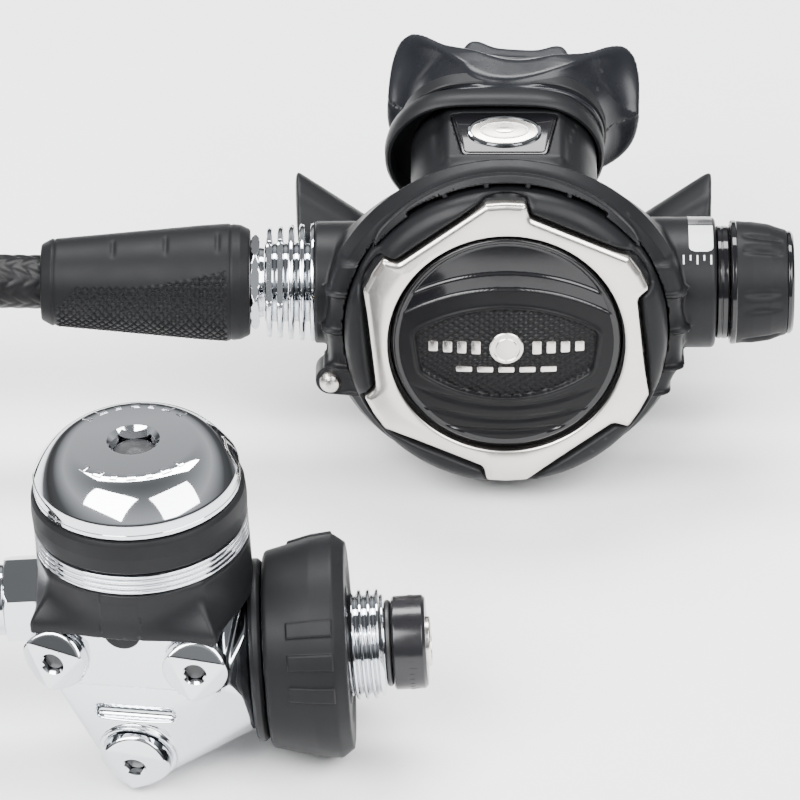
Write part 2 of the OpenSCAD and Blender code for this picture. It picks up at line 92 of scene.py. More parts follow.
UP_1 = -np.array(JOINTS["valve_open"]["axis"])
INWARD_2 = np.array(JOINTS["purge_press"]["axis"])
KNOB_AXIS = np.array(JOINTS["knob_turn"]["axis"])
FIRST = frame_at("handwheel_turn", JOINTS["handwheel_turn"]["axis"], UP_1, (32.3, 0, CONNECTOR_Z))
SECOND = frame_at("knob_turn", KNOB_AXIS, np.cross(KNOB_AXIS, INWARD_2),
                  (56, BARREL_Y, BARREL_Z))
CONNECTOR = FIRST @ shift(0, 0, CONNECTOR_Z) @ turn("Y", 90)
FACE = FIRST @ turn("Z", -FACE_TURN)
HOSE_PORT = FIRST @ shift(0, HOSE_Y, FACE_Z) @ turn("Y", -90)
BARREL = SECOND @ shift(0, BARREL_Y, BARREL_Z) @ turn("Y", 90)
FRONT = SECOND @ turn("X", 90)
TUBE = SECOND @ shift(0, TUBE_Y, TUBE_Z) @ turn("X", TUBE_TILT - 90)


# ---------- mesh helpers ----------


def piece(name, shape, place, finish, body="housing", replaces=(), crease=32, normals=None,
          second=None):
    """Object from a shape (vertices in local millimetres, faces), riding on a body.

    second is another finish and a test of the face centres, in local millimetres, that take it.
    """
    verts, faces = np.asarray(shape[0], float), shape[1]
    world = (verts @ place[:3, :3].T + place[:3, 3]) * 0.001
    mesh = bpy.data.meshes.new(name)
    mesh.from_pydata(world.tolist(), [], [tuple(f) for f in faces])
    mesh.materials.append(FINISHES[finish])
    if second:
        mesh.materials.append(FINISHES[second[0]])
        centres = np.array([verts[f].mean(0) for f in map(list, faces)])
        mesh.polygons.foreach_set("material_index", second[1](*centres.T).astype(np.int32))
    mesh.shade_smooth()
    if normals is None:
        mesh.set_sharp_from_angle(angle=math.radians(crease))
    else:
        mesh.normals_split_custom_set_from_vertices((normals @ place[:3, :3].T).tolist())
    obj = bpy.data.objects.new(name, mesh)
    bpy.context.scene.collection.objects.link(obj)
    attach(obj, body)
    if replaces:
        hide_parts(*replaces)
    return obj


def together(*shapes):
    """Several shapes as one."""
    verts, faces, count = [], [], 0
    for v, f in shapes:
        verts.append(np.asarray(v, float))
        faces += [[i + count for i in face] for face in f]
        count += len(v)
    return np.concatenate(verts), faces


def moved(shape, place):
    """Shape put through a frame."""
    verts, faces = shape
    return np.asarray(verts, float) @ place[:3, :3].T + place[:3, 3], faces


def loft(rings, caps=True, closed=False):
    """Skin over rings of equal point count; each end is closed by a face unless closed in a loop."""
    n, count = len(rings[0]), len(rings)
    verts = np.concatenate([np.asarray(r, float) for r in rings])
    faces = []
    for i in range(count if closed else count - 1):
        a, b = i * n, ((i + 1) % count) * n
        for k in range(n):
            j = (k + 1) % n
            faces.append((a + k, a + j, b + j, b + k))
    if caps and not closed:
        faces.append(tuple(range(n - 1, -1, -1)))
        faces.append(tuple(range((count - 1) * n, count * n)))
    return verts, faces


def angles(n):
    """The n angles of a ring, evenly spaced from zero."""
    return np.linspace(0, 2 * math.pi, n, endpoint=False)


def circle(r, z, n=128):
    """Ring of n points; r and z are numbers or one value for each point."""
    a = angles(n)
    return np.stack([r * np.cos(a), r * np.sin(a), np.zeros(n) + z], 1)


def hexagon_radius(across_flats, n=128, phase=0.0):
    """Radius of a hexagon at each of n angles."""
    a = (angles(n) + phase) % (math.pi / 3) - math.pi / 6
    return across_flats / 2 / np.cos(a)


def filleted(points, radius=0.6, steps=4):
    """Outline with its inner corners rounded; a third value on a point is its own radius."""
    out = [np.array(points[0][:2], float)]
    for i in range(1, len(points) - 1):
        a, b, c = (np.array(points[j][:2], float) for j in (i - 1, i, i + 1))
        r = points[i][2] if len(points[i]) > 2 else radius
        u, v = (a - b) / np.linalg.norm(a - b), (c - b) / np.linalg.norm(c - b)
        half = math.acos(max(-1.0, min(1.0, float(u @ v)))) / 2
        if r <= 0 or half > math.radians(88):
            out.append(b)
            continue
        reach = min(r / math.tan(half), 0.48 * min(np.linalg.norm(a - b), np.linalg.norm(c - b)))
        for k in range(steps + 1):
            t = k / steps
            p, q = b + u * reach * (1 - t), b + v * reach * t
            out.append(p * (1 - t) + q * t)
    out.append(np.array(points[-1][:2], float))
    return out


def lathe(outline, n=128, radius=0.6, steps=4, closed=False):
    """Turned solid from (radius, z) points, from bottom to top along the outside."""
    line = filleted(outline, radius, steps)
    rings = [circle(max(p[0], 1e-4), p[1], n) for p in line]
    return loft(rings, caps=not closed, closed=closed)


def prism(outline, low, high, bevel=0.0, steps=3, bottom=True):
    """Straight solid on an outline, with its top (and bottom) edges bevelled."""
    outline = [(float(p[0]), float(p[1])) for p in outline]
    bm = bmesh.new()
    base = [bm.verts.new((x, y, low)) for x, y in outline]
    face = bm.faces.new(base)
    made = bmesh.ops.extrude_face_region(bm, geom=[face])
    top = [v for v in made["geom"] if isinstance(v, bmesh.types.BMVert)]
    bmesh.ops.translate(bm, vec=(0, 0, high - low), verts=top)
    bmesh.ops.recalc_face_normals(bm, faces=bm.faces)
    if bevel:
        edges = [
            e for e in bm.edges
            if abs(e.verts[0].co.z - e.verts[1].co.z) < 1e-6
            and (bottom or e.verts[0].co.z > (low + high) / 2)
        ]
        bmesh.ops.bevel(bm, geom=edges, offset=bevel, segments=steps, profile=0.5,
                        affect="EDGES", clamp_overlap=True)
    return taken(bm)


def taken(bm):
    """Vertices and faces of a bmesh, which is then freed."""
    bm.verts.ensure_lookup_table()
    verts = np.array([v.co for v in bm.verts], float)
    faces = [[v.index for v in f.verts] for f in bm.faces]
    bm.free()
    return verts, faces


def arc(cx, cy, r, start, end, steps=12):
    """Points on an arc, degrees."""
    return [
        (cx + r * math.cos(math.radians(start + (end - start) * k / steps)),
         cy + r * math.sin(math.radians(start + (end - start) * k / steps)))
        for k in range(steps + 1)
    ]


# ---------- distance fields ----------


def smooth_step(v, width):
    """0 to 1 as v passes zero, over a given width."""
    t = np.clip(v / width + 0.5, 0, 1)
    return t * t * (3 - 2 * t)


def smooth_min(a, b, k):
    """Union of two fields, blended over about k millimetres."""
    h = np.maximum(k - np.abs(a - b), 0) / k
    return np.minimum(a, b) - h * h * k / 4


def smooth_max(a, b, k):
    """Overlap of two fields, blended over about k millimetres."""
    return -smooth_min(-a, -b, k)


def rod(a, b, c, r, low, high, edge=0.5):
    """Round bar along c with rounded ends; r may vary along c."""
    q1 = np.hypot(a, b) - (r - edge)
    q2 = np.abs(c - (low + high) / 2) - ((high - low) / 2 - edge)
    return np.hypot(np.maximum(q1, 0), np.maximum(q2, 0)) + np.minimum(np.maximum(q1, q2), 0) - edge


def oval_rod(a, b, c, r, half, low, high, edge=0.5):
    """Bar along c whose section is two round ends half apart from the middle in a."""
    return rod(np.maximum(np.abs(a) - half, 0), b, c, r, low, high, edge)


def block(a, b, c, half, edge=0.5):
    """Box with rounded edges about zero."""
    q = [np.abs(v) - (h - edge) for v, h in zip((a, b, c), half)]
    outside = np.sqrt(sum(np.maximum(v, 0) ** 2 for v in q))
    return outside + np.minimum(np.maximum(np.maximum(q[0], q[1]), q[2]), 0) - edge


def lathe_field(r, z, outline, edge=0.0):
    """Distance to a turned solid whose half section is the closed outline."""
    points = [np.array(p, float) for p in outline]
    best, sign = None, None
    for i, a in enumerate(points):
        b = points[i - 1]
        e = b - a
        wr, wz = r - a[0], z - a[1]
        t = np.clip((wr * e[0] + wz * e[1]) / (e @ e), 0, 1)
        d = (wr - e[0] * t) ** 2 + (wz - e[1] * t) ** 2
        best = d if best is None else np.minimum(best, d)
        up, down, left = z >= a[1], z < b[1], e[0] * wz > e[1] * wr
        flip = (up & down & left) | (~up & ~down & ~left)
        sign = np.where(flip, -1.0, 1.0) if sign is None else np.where(flip, -sign, sign)
    return sign * np.sqrt(best) - edge


def hull_field(points, edge=0.5):
    """Function giving the distance to the convex hull of points, with rounded edges."""
    bm = bmesh.new()
    for p in points:
        bm.verts.new([float(v) for v in p])
    hull = bmesh.ops.convex_hull(bm, input=bm.verts)
    spare = [g for g in hull["geom_interior"] if isinstance(g, bmesh.types.BMVert)]
    bmesh.ops.delete(bm, geom=spare, context="VERTS")
    bmesh.ops.recalc_face_normals(bm, faces=bm.faces)
    planes = {}
    for f in bm.faces:
        n = f.normal
        key = tuple(round(v, 2) for v in n)
        planes.setdefault(key, (np.array(n), float(n.dot(f.verts[0].co))))
    bm.free()

    def field(x, y, z):
        d = None
        for n, offset in planes.values():
            p = n[0] * x + n[1] * y + n[2] * z - offset
            d = p if d is None else smooth_max(d, p, edge)
        return d

    return field


CORNERS = [(i, j, k) for i in (0, 1) for j in (0, 1) for k in (0, 1)]


def crossings(value, cells):
    """Mean place where the field crosses zero on each cell's edges, in cells."""
    place, weight = np.zeros((len(cells), 3)), np.zeros(len(cells))
    for c in CORNERS:
        for axis in range(3):
            if c[axis]:
                continue
            d = list(c)
            d[axis] = 1
            v0 = value[tuple((cells + c).T)]
            v1 = value[tuple((cells + d).T)]
            cut = (v0 < 0) != (v1 < 0)
            t = np.where(cut, v0 / np.where(cut, v0 - v1, 1), 0)
            p = np.tile(np.array(c, float), (len(cells), 1))
            p[:, axis] = t
            place += p * cut[:, None]
            weight += cut
    return cells + place / weight[:, None]


def quads(inside, number):
    """Quads joining the four cells round each grid edge that crosses the surface."""
    faces = []
    for axis in range(3):
        u, v = (axis + 1) % 3, (axis + 2) % 3
        near, far = [slice(None)] * 3, [slice(None)] * 3
        near[axis], far[axis] = slice(0, -1), slice(1, None)
        a, b = inside[tuple(near)], inside[tuple(far)]
        for flip in (False, True):
            edges = np.argwhere((~a & b) if flip else (a & ~b))
            clear = [(edges[:, w] > 0) & (edges[:, w] < inside.shape[w] - 1) for w in (u, v)]
            edges = edges[np.all(clear, 0)]
            quad = []
            for du, dv in ((1, 1), (0, 1), (0, 0), (1, 0)):
                q = edges.copy()
                q[:, u] -= du
                q[:, v] -= dv
                quad.append(number[tuple(q.T)])
            quad = np.stack(quad, 1)
            faces.append(quad[:, ::-1] if flip else quad)
    return np.concatenate(faces)


def slope(field, p, h=0.02):
    """Gradient of a field at points p."""
    g = []
    for axis in range(3):
        ahead, behind = p.copy(), p.copy()
        ahead[:, axis] += h
        behind[:, axis] -= h
        g.append((field(*ahead.T) - field(*behind.T)) / (2 * h))
    return np.stack(g, 1)


def nets(field, low, high, step, polish=4):
    """Mesh of the surface field = 0, with the field's own normals."""
    axes = [np.arange(a, b + step, step) for a, b in zip(low, high)]
    grid = np.meshgrid(*axes, indexing="ij", sparse=True)
    value = np.broadcast_to(field(*grid), [len(a) for a in axes]).astype(np.float32)
    inside = value < 0
    shape = tuple(n - 1 for n in value.shape)
    total = sum(inside[tuple(slice(k, k + n) for k, n in zip(c, shape))].astype(np.int8)
                for c in CORNERS)
    cells = np.argwhere((total > 0) & (total < 8))
    number = np.full(shape, -1, np.int64)
    number[tuple(cells.T)] = np.arange(len(cells))
    verts = crossings(value, cells) * step + np.array([a[0] for a in axes])
    for _ in range(polish):
        g = slope(field, verts)
        size = np.maximum((g * g).sum(1), 0.05)
        move = -(field(*verts.T) / size)[:, None] * g
        length = np.linalg.norm(move, axis=1, keepdims=True)
        verts = verts + move * np.minimum(1, 0.4 * step / np.maximum(length, 1e-9))
    g = slope(field, verts)
    normals = g / np.maximum(np.linalg.norm(g, axis=1, keepdims=True), 1e-9)
    return verts, quads(inside, number).tolist(), normals


def cast(name, field, low, high, step, place, finish, **more):
    """Piece whose surface is a distance field's zero level."""
    verts, faces, normals = nets(field, low, high, step)
    return piece(name, (verts, faces), place, finish, normals=normals, **more)


# ---------- finishes ----------

NOISE_REACH = (0.3, 0.7)
GRAIN_DEPTH = 0.00006


def noise(tree, cells, detail):
    """Noise in the object's own coordinates, cells per metre."""
    where = tree.nodes.new("ShaderNodeTexCoord")
    made = tree.nodes.new("ShaderNodeTexNoise")
    made.inputs["Scale"].default_value = cells
    made.inputs["Detail"].default_value = detail
    tree.links.new(where.outputs["Object"], made.inputs["Vector"])
    return made.outputs["Fac"]


def remapped(tree, source, reach, low, high):
    """Linked value mapped from its reach to low..high."""
    made = tree.nodes.new("ShaderNodeMapRange")
    for name, value in zip(("From Min", "From Max", "To Min", "To Max"), (*reach, low, high)):
        made.inputs[name].default_value = value
    tree.links.new(source, made.inputs["Value"])
    return made.outputs["Result"]


def mixed(tree, factor, b):
    """Mix node whose second colour is b, by a linked factor."""
    made = tree.nodes.new("ShaderNodeMix")
    made.data_type = "RGBA"
    made.inputs["B"].default_value = [min(1, c) for c in b] + [1]
    tree.links.new(factor, made.inputs["Factor"])
    return made


def finish(name, colour, rough, metal=0.0, grain=(1500, 0.25), blotch=0.12, spread=0.08,
           specular=0.5, edge_highlight=0.0):
    """Procedural finish: fine grain in the bump, slow blotches in colour and roughness.

    grain is (cells per metre, bump strength); the edge amount sets how much lighter the convex edges are made, a
    painted highlight.
    """
    made = bpy.data.materials.new(name)
    made.use_nodes = True
    tree = made.node_tree
    links, shader = tree.links, tree.nodes["Principled BSDF"]
    shader.inputs["Metallic"].default_value = metal
    shader.inputs["Specular IOR Level"].default_value = specular
    links.new(remapped(tree, noise(tree, 160, 5), NOISE_REACH, max(rough - spread, 0.01),
                       rough + spread), shader.inputs["Roughness"])
    mix = mixed(tree, remapped(tree, noise(tree, 45, 3), NOISE_REACH, 0, 1),
                [c * (1 + blotch) for c in colour])
    mix.inputs["A"].default_value = [c * (1 - blotch) for c in colour] + [1]
    # Painted highlight: convex edges made lighter by pointiness, standing in for light catching the edges.
    if edge_highlight:
        edge = tree.nodes.new("ShaderNodeNewGeometry").outputs["Pointiness"]
        highlit_edges = mixed(tree, remapped(tree, edge, (0.52, 0.62), 0, edge_highlight),
                     [c * 1.5 + 0.03 for c in colour])
        links.new(mix.outputs["Result"], highlit_edges.inputs["A"])
        mix = highlit_edges
    links.new(mix.outputs["Result"], shader.inputs["Base Color"])
    bump = tree.nodes.new("ShaderNodeBump")
    bump.inputs["Strength"].default_value = grain[1]
    bump.inputs["Distance"].default_value = GRAIN_DEPTH
    links.new(noise(tree, grain[0], 4), bump.inputs["Height"])
    links.new(bump.outputs["Normal"], shader.inputs["Normal"])
    FINISHES[name] = made


def make_finishes():
    """The record's material slots; colour, roughness, metal, grain, blotch and spread."""
    # The rubber and silicone finishes get a painted highlight on their convex edges.
    edge_lit, bright = {"edge_highlight": 0.3}, {"metal": 1}
    finish("chrome", (0.66, 0.68, 0.71), 0.045, 1, (900, 0.01), 0.03, 0.015)
    finish("brushed_nickel", (0.66, 0.625, 0.59), 0.25, 1, (2600, 0.05), 0.03, 0.02)
    finish("matte_black", (0.007, 0.0073, 0.0082), 0.42, 0, (2600, 0.30), 0.12, 0.05, 0.15, **edge_lit)
    finish("soft_black", (0.0065, 0.0068, 0.0076), 0.50, 0, (3200, 0.35), 0.12, 0.05, 0.13, **edge_lit)
    finish("gloss_black", (0.006, 0.006, 0.007), 0.09, 0, (700, 0.01), 0.1, 0.03, 0.4)
    finish("satin_black", (0.005, 0.005, 0.0056), 0.34, 0, (2400, 0.12), 0.1, 0.05, 0.14)
    finish("silicone", (0.009, 0.0097, 0.012), 0.25, 0, (1800, 0.10), 0.12, 0.05, 0.26, **edge_lit)
    finish("braid", (0.006, 0.006, 0.0066), 0.40, 0, (5200, 0.6), 0.25, 0.08, 0.16)
    finish("black_metal", (0.016, 0.016, 0.018), 0.20, 0.35, (2200, 0.05), 0.1, 0.05)
    finish("spring_steel", (0.60, 0.60, 0.62), 0.28, grain=(2500, 0.1), **bright)
    finish("brass", (0.62, 0.47, 0.23), 0.26, grain=(2500, 0.1), **bright)
    finish("membrane", (0.05, 0.055, 0.06), 0.5, grain=(2500, 0.2))
    finish("seal_rubber", (0.012, 0.012, 0.013), 0.4, grain=(2500, 0.1))
    finish("white_plastic", (0.62, 0.63, 0.64), 0.4, grain=(2500, 0.1))


def dress_cad():
    """Each CAD node takes the finish of its record slot."""
    for part in frame["record"]["subparts"]:
        node = frame["nodes"][part["node"]]
        node.data.materials.clear()
        node.data.materials.append(FINISHES[part["material_slot"]])


def squash_springs():
    """Each pressed spring gets its own mesh, and the end it would shorten towards is found; no spring is
    shortened.
    """
    for joint in frame["record"]["behaviour"]["joints"]:
        for soft in joint.get("deforming_nodes", ()):
            if soft["node"] not in ("purge_spring", "closure_spring", "main_valve_spring"):
                continue
            node, way = frame["nodes"][soft["node"]], Vector(joint["axis"]).normalized()
            points = [node.matrix_world @ v.co for v in node.data.vertices]
            near, far = min(p.dot(way) for p in points), max(p.dot(way) for p in points)
            anchor = sum(points, Vector()) / len(points)
            anchor += way * (far - anchor.dot(way))
            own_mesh(node)


# ---------- camera, light and floor ----------


def make_camera():
    """Camera at the photograph's viewing angle, along +Y and looking down at the set."""
    aim, away, down = Vector((0.0070, -0.0363, 0.0561)), 1.6, math.radians(33.3)
    data = bpy.data.cameras.new("camera")
    data.sensor_width, data.lens = 36, 341.2
    data.clip_start, data.clip_end = 0.05, 30
    cam = bpy.data.objects.new("camera", data)
    cam.location = aim + Vector((0, -math.cos(down), math.sin(down))) * away
    cam.rotation_euler = (math.pi / 2 - down, 0, 0)
    bpy.context.scene.collection.objects.link(cam)
    bpy.context.scene.camera = cam


def softbox(name, place, aim, size, power):
    """Rectangular light aimed at a point, metres and watts."""
    data = bpy.data.lights.new(name, "AREA")
    data.shape, data.size, data.size_y, data.energy = "RECTANGLE", size[0], size[1], power
    obj = bpy.data.objects.new(name, data)
    obj.location = place
    obj.rotation_euler = (Vector(aim) - Vector(place)).to_track_quat("-Z", "Y").to_euler()
    bpy.context.scene.collection.objects.link(obj)


def make_studio():
    """Three softboxes and a grey room: dark at floor level, brighter above."""
    room = bpy.data.worlds.new("room")
    room.use_nodes = True
    bpy.context.scene.world = room
    nodes, links = room.node_tree.nodes, room.node_tree.links
    where, split = nodes.new("ShaderNodeTexCoord"), nodes.new("ShaderNodeSeparateXYZ")
    ramp = nodes.new("ShaderNodeValToRGB")
    links.new(where.outputs["Generated"], split.inputs["Vector"])
    links.new(split.outputs["Z"], ramp.inputs["Fac"])
    links.new(ramp.outputs["Color"], nodes["Background"].inputs["Color"])
    shades = ((0.0, 0.30), (0.08, 0.10), (0.22, 0.16), (0.5, 0.95), (0.72, 0.6), (1.0, 0.25))
    while len(ramp.color_ramp.elements) < len(shades):
        ramp.color_ramp.elements.new(0.5)
    for element, (at, grey) in zip(ramp.color_ramp.elements, shades):
        element.position = at
        element.color = (grey * 0.97, grey * 0.985, grey, 1)
    nodes["Background"].inputs["Strength"].default_value = 0.8
    centre = (0, 0, 0.04)
    softbox("key_light", (-0.72, -0.78, 1.15), centre, (1.15, 0.85), 60)
    softbox("fill_light", (0.78, -0.70, 1.1), centre, (1.1, 0.85), 38)
    softbox("top_light", (0.0, 0.7, 1.5), centre, (1.5, 0.5), 56)


def make_floor():
    """Plain pale floor."""
    bm = bmesh.new()
    bmesh.ops.create_grid(bm, x_segments=8, y_segments=8, size=4)
    mesh = bpy.data.meshes.new("floor")
    bm.to_mesh(mesh)
    bm.free()
    finish("floor_paper", (0.86, 0.86, 0.86), 0.7, 0, (300, 0.02), 0.01)
    mesh.materials.append(FINISHES["floor_paper"])
    floor = bpy.data.objects.new("floor", mesh)
    bpy.context.scene.collection.objects.link(floor)


# ---------- first stage ----------

CAP_TOP, CAP_FOOT, CAP_R = 75.4, 64.6, 21.4
# Plugs on the port face: distance from its middle, and degrees that each leans outwards
PORT_U, PORT_SPLAY = 12.45, 6.5


def cap_drop(r):
    """How far the cap's domed top has fallen at radius r."""
    return 0.0018 * r * r + 6.4 * (max(r - 12.5, 0) / 8.8) ** 2.2


def hex_pocket(across_flats, mouth_r, top, depth, n=96):
    """Rings of a hexagon socket, from its round countersunk mouth down to its floor."""
    corners = hexagon_radius(across_flats, n)
    return [
        circle(mouth_r, top, n),
        circle(corners, top - (mouth_r - corners) * 0.9, n),
        circle(corners * 0.995, top - depth, n),
        circle(0.01, top - depth - 0.9, n),
    ]


def make_cap():
    """Domed chrome cap: flat polished top, broad shoulder, straight skirt, hexagon socket."""
    n = 192
    outline = filleted(
        [(17.0, 69.6), (17.0, 67.6), (19.15, 67.6), (19.15, CAP_FOOT), (20.9, CAP_FOOT),
         (CAP_R, CAP_FOOT + 0.5), (CAP_R, CAP_FOOT + 1.3), (CAP_R - 0.12, CAP_FOOT + 1.45),
         (CAP_R - 0.12, CAP_FOOT + 1.6)], 0.15)
    shoulder = [(r, CAP_TOP - cap_drop(r)) for r in np.linspace(21.3, 5.55, 48)]
    rings = [circle(p[0], p[1], n) for p in outline + shoulder]
    socket_shade = hex_pocket(9.0, 5.5, CAP_TOP - 0.06, 4.4, n)
    bottom = [circle(0.01, 69.6, n)]
    piece("top_cap_shell", loft(bottom + rings + socket_shade, caps=False), FIRST, "chrome",
          replaces=["top_cap"])
    # Dark disc set into the hexagon socket: painted shade for the socket's dark depth.
    piece("top_cap_socket_shade", lathe(
        [(0.01, 71.2), (4.45, 71.2), (4.45, 72.6), (0.01, 72.6)], 48, 0.1), FIRST, "seal_rubber")
    marks = []
    for half in (90, 270):
        for k in range(7):
            a = half + (k - 3) * 15.5
            span = 8.6 if k % 2 else 5.8
            start, end = a - span / 2, a + span / 2
            bar = arc(0, 0, 14.3, start, end, 6) + arc(0, 0, 12.4, end, start, 6)
            verts, faces = prism(bar, CAP_TOP - 1.3, CAP_TOP - 0.22, 0.12, 2)
            verts[:, 2] -= 0.145 * (np.hypot(verts[:, 0], verts[:, 1]) - 13.35)
            marks.append((verts, faces))
    piece("top_cap_marks", together(*marks), FIRST, "chrome")


def make_stack():
    """Rubber band, ribbed chrome ring and the clamp below the cap."""
    piece("cap_band_sleeve", lathe(
        [(19.15, 56.75), (21.6, 56.75), (22.15, 57.2), (22.3, 60.5), (22.1, 63.6), (21.6, 64.45),
         (19.15, 64.45)], 160, 0.5, closed=True), FIRST, "soft_black", replaces=["cap_band"])
    ridges = [(19.15, 51.65), (21.35, 51.65)]
    for k in range(4):
        z = 51.95 + k * 1.22
        ridges += [(21.5, z, 0.1), (22.15, z + 0.22, 0.2), (22.15, z + 0.72, 0.2),
                   (21.5, z + 0.95, 0.1)]
    ridges += [(21.35, 56.62), (19.15, 56.62)]
    piece("clamp_ring_ribs", lathe(ridges, 192, 0.2, closed=True), FIRST, "chrome",
          replaces=["clamp_ring"])


def make_shroud():
    """Rubber skirt under the ribbed ring, spreading to square shoulders over the port face."""
    a = math.radians(FACE_TURN)

    def field(x, y, z):
        u, v = x * math.cos(a) - y * math.sin(a), x * math.sin(a) + y * math.cos(a)
        r = np.hypot(x, y)
        body = rod(x, y, z, 22.15, 37.0, 51.5, 0.4)
        spread = np.clip((50.5 - z) / 9.0, 0, 1)
        spread = spread * spread * (3 - 2 * spread)
        deep = 15.6 + 5.7 * spread
        wide = block(u, v + deep / 2, z - 44.2, (15.0 + 4.7 * spread, deep / 2, 7.3), 1.0)
        body = smooth_min(body, wide, 4.5)
        front = v < 0
        hem = 41.1 - 0.003 * u * u * front
        body = smooth_max(body, hem - z, 0.35)
        tab = np.maximum(np.abs(u) - 3.9, v + 8)
        tab = np.maximum(tab, -(v + 21.75))
        tongue = smooth_max(np.hypot(u, np.minimum(z - 42.0, 0)) - 4.0, tab, 0.5)
        tongue = np.maximum(tongue, z - 49)
        body = smooth_min(body, tongue, 0.5)
        seam = np.maximum(np.abs(np.abs(u) - 4.05) - 0.25, v + 12)
        body = smooth_max(body, -np.maximum(seam, -body - 0.07), 0.1)
        body = np.maximum(body, 20.15 - r)
        hole = np.hypot(y - HOSE_Y, z - FACE_Z) - 10.4
        return np.maximum(body, -np.maximum(hole, x + 8))

    cast("body_shroud_skirt", field, (-25, -25, 36), (25, 25, 52.5), 0.34, FIRST, "matte_black",
         replaces=["body_shroud"])


def make_first_body():
    """Polished body: flat port face, taper to the lower boss and a neck for the connector."""
    turned_by, down = math.radians(FACE_TURN), math.radians(BOSS_TILT)
    block_points = [(u, v, z) for u in (-19.4, 19.4) for v in (-20.45, -12) for z in (27.4, 40.9)]
    block_points += [(19.6 * math.cos(t), 19.6 * math.sin(t), z) for t in np.linspace(0, math.pi, 13)
                     for z in (27.4, 40.9)]
    upper = hull_field(block_points, 0.5)
    around = np.linspace(0, 2 * math.pi, 15)
    boss = [(8.8 * math.cos(t), -17.4 - 8.8 * math.sin(t) * math.sin(down),
             9.3 + 8.8 * math.sin(t) * math.cos(down)) for t in around]
    low_points = [(-17.8, -18.6, 28.5), (18.4, -18.8, 28.5), (-17.0, 8, 28.5), (17, 8, 28.5)] + boss
    low_points += [(10.5 * math.cos(t), 10.5 * math.sin(t) + 1, 0.9) for t in around]
    c, s = math.cos(turned_by), math.sin(turned_by)
    low_points = [(u * c + v * s, -u * s + v * c, z) for u, v, z in low_points]
    low_points += [(20.6, 16.6 * math.cos(t), CONNECTOR_Z + 16.6 * math.sin(t)) for t in around]
    lower = hull_field(low_points, 0.6)

    def field(x, y, z):
        u, v = x * c - y * s, x * s + y * c
        body = smooth_min(upper(u, v, z), lower(x, y, z), 0.8)
        out = -v * math.cos(down) - (z - BOSS_Z) * math.sin(down) + BOSS_Y * math.cos(down)
        up = (z - BOSS_Z) * math.cos(down) - v * math.sin(down) + BOSS_Y * math.sin(down)
        pocket = block(u - 0.5, up - 10.7, out, (8.4, 1.7, 2.2), 1.2)
        body = smooth_max(body, -pocket, 0.5)
        body = smooth_min(body, rod(u, up, out, 8.2, -9, 1.5, 0.35), 0.5)
        body = smooth_min(body, rod(x, y, z, 19.9, 30, 50, 0.4), 0.5)
        body = smooth_min(body, rod(y - HOSE_Y, z - FACE_Z, x + 14.5, 9.1, -6.4, 6.4, 0.6), 0.8)
        inside = np.minimum(rod(x, y, z, 17.5, 47, 60, 0.1), rod(x, y, z, 7.0, 12, 48, 0.1))
        inside = np.minimum(inside, rod(y, z - CONNECTOR_Z, x - 11, 6.0, -11, 14, 0.1))
        inside = np.minimum(inside, rod(y - HOSE_Y, z - FACE_Z, x + 16, 4.4, -8, 6.5, 0.1))
        inside = np.minimum(inside, rod(u, up, out, 3.8, -9, 8, 0.2))
        for side in (-1, 1):
            b = math.radians(PORT_SPLAY * side)
            w = u - PORT_U * side
            across, along = w * math.cos(b) + v * math.sin(b), -v * math.cos(b) + w * math.sin(b)
            inside = np.minimum(inside, rod(across, z - FACE_Z, along, 7.3, 19.9, 26, 0.2))
            inside = np.minimum(inside, rod(across, z - FACE_Z, along, 5.0, 9.5, 26, 0.2))
        return smooth_max(body, -inside, 0.2)

    cast("first_body_casting", field, (-23, -24, 0), (24, 23, 51), 0.34, FIRST, "chrome",
         replaces=["first_body"])


def face_plug(head_r, shank_r, top):
    """Port plug: three sloping flats cut into a disc, round a hexagon socket, above a shank."""
    n = 180
    a = angles(n)
    foot, thick = top - 3.3, 1.75
    rings = [circle(0.01, foot - 4, n), circle(shank_r, foot - 4, n), circle(shank_r, foot, n),
             circle(head_r - 0.3, foot, n), circle(head_r, foot + 0.3, n)]

    def face(r):
        z = np.full(n, float(top))
        for k in range(3):
            reach = r * np.cos(a - math.radians(80 + 120 * k)) - head_r * 0.50
            z = np.minimum(z, top - thick * np.maximum(reach, 0) / (head_r * 0.5))
        return z

    rings.append(circle(head_r, face(head_r) - 0.35, n))
    for r in [head_r - 0.06, head_r - 0.2] + list(np.linspace(head_r - 0.4, 3.0, 12)):
        ease = 0.35 * max(0, 1 - (head_r - r) / 0.4) ** 2
        rings.append(circle(r, face(r) - ease, n))
    return loft(rings + hex_pocket(4.0, 2.55, top, 2.6, n), caps=False)


def make_plugs():
    """Two splayed plugs on the port face and one on the lower boss."""
    # Dark discs set into the plugs' sockets: painted shade for the sockets' dark depth.
    floor = lathe([(0.01, -2.4), (1.95, -2.4), (1.95, -1.5), (0.01, -1.5)], 32, 0.05)
    for side, name in ((-1, "left"), (1, "right")):
        place = FACE @ shift(PORT_U * side, 0, FACE_Z) @ turn("Z", PORT_SPLAY * side) @ turn("X", 90)
        plug = piece(f"port_plug_{name}", face_plug(6.9, 4.3, 23.2), place, "chrome", crease=22)
        piece(f"port_plug_{name}_socket", floor, place @ shift(0, 0, 23.2), "seal_rubber")
        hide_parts("front_port_plugs")
    place = FACE @ shift(0, BOSS_Y, BOSS_Z) @ turn("X", 90 + BOSS_TILT)
    piece("port_plug_lower", face_plug(7.4, 3.6, 5.0), place, "chrome",
          replaces=["gauge_port_plug"], crease=22)
    piece("port_plug_lower_socket_shade", floor, place @ shift(0, 0, 5.0), "seal_rubber")


# ---------- cylinder connector ----------


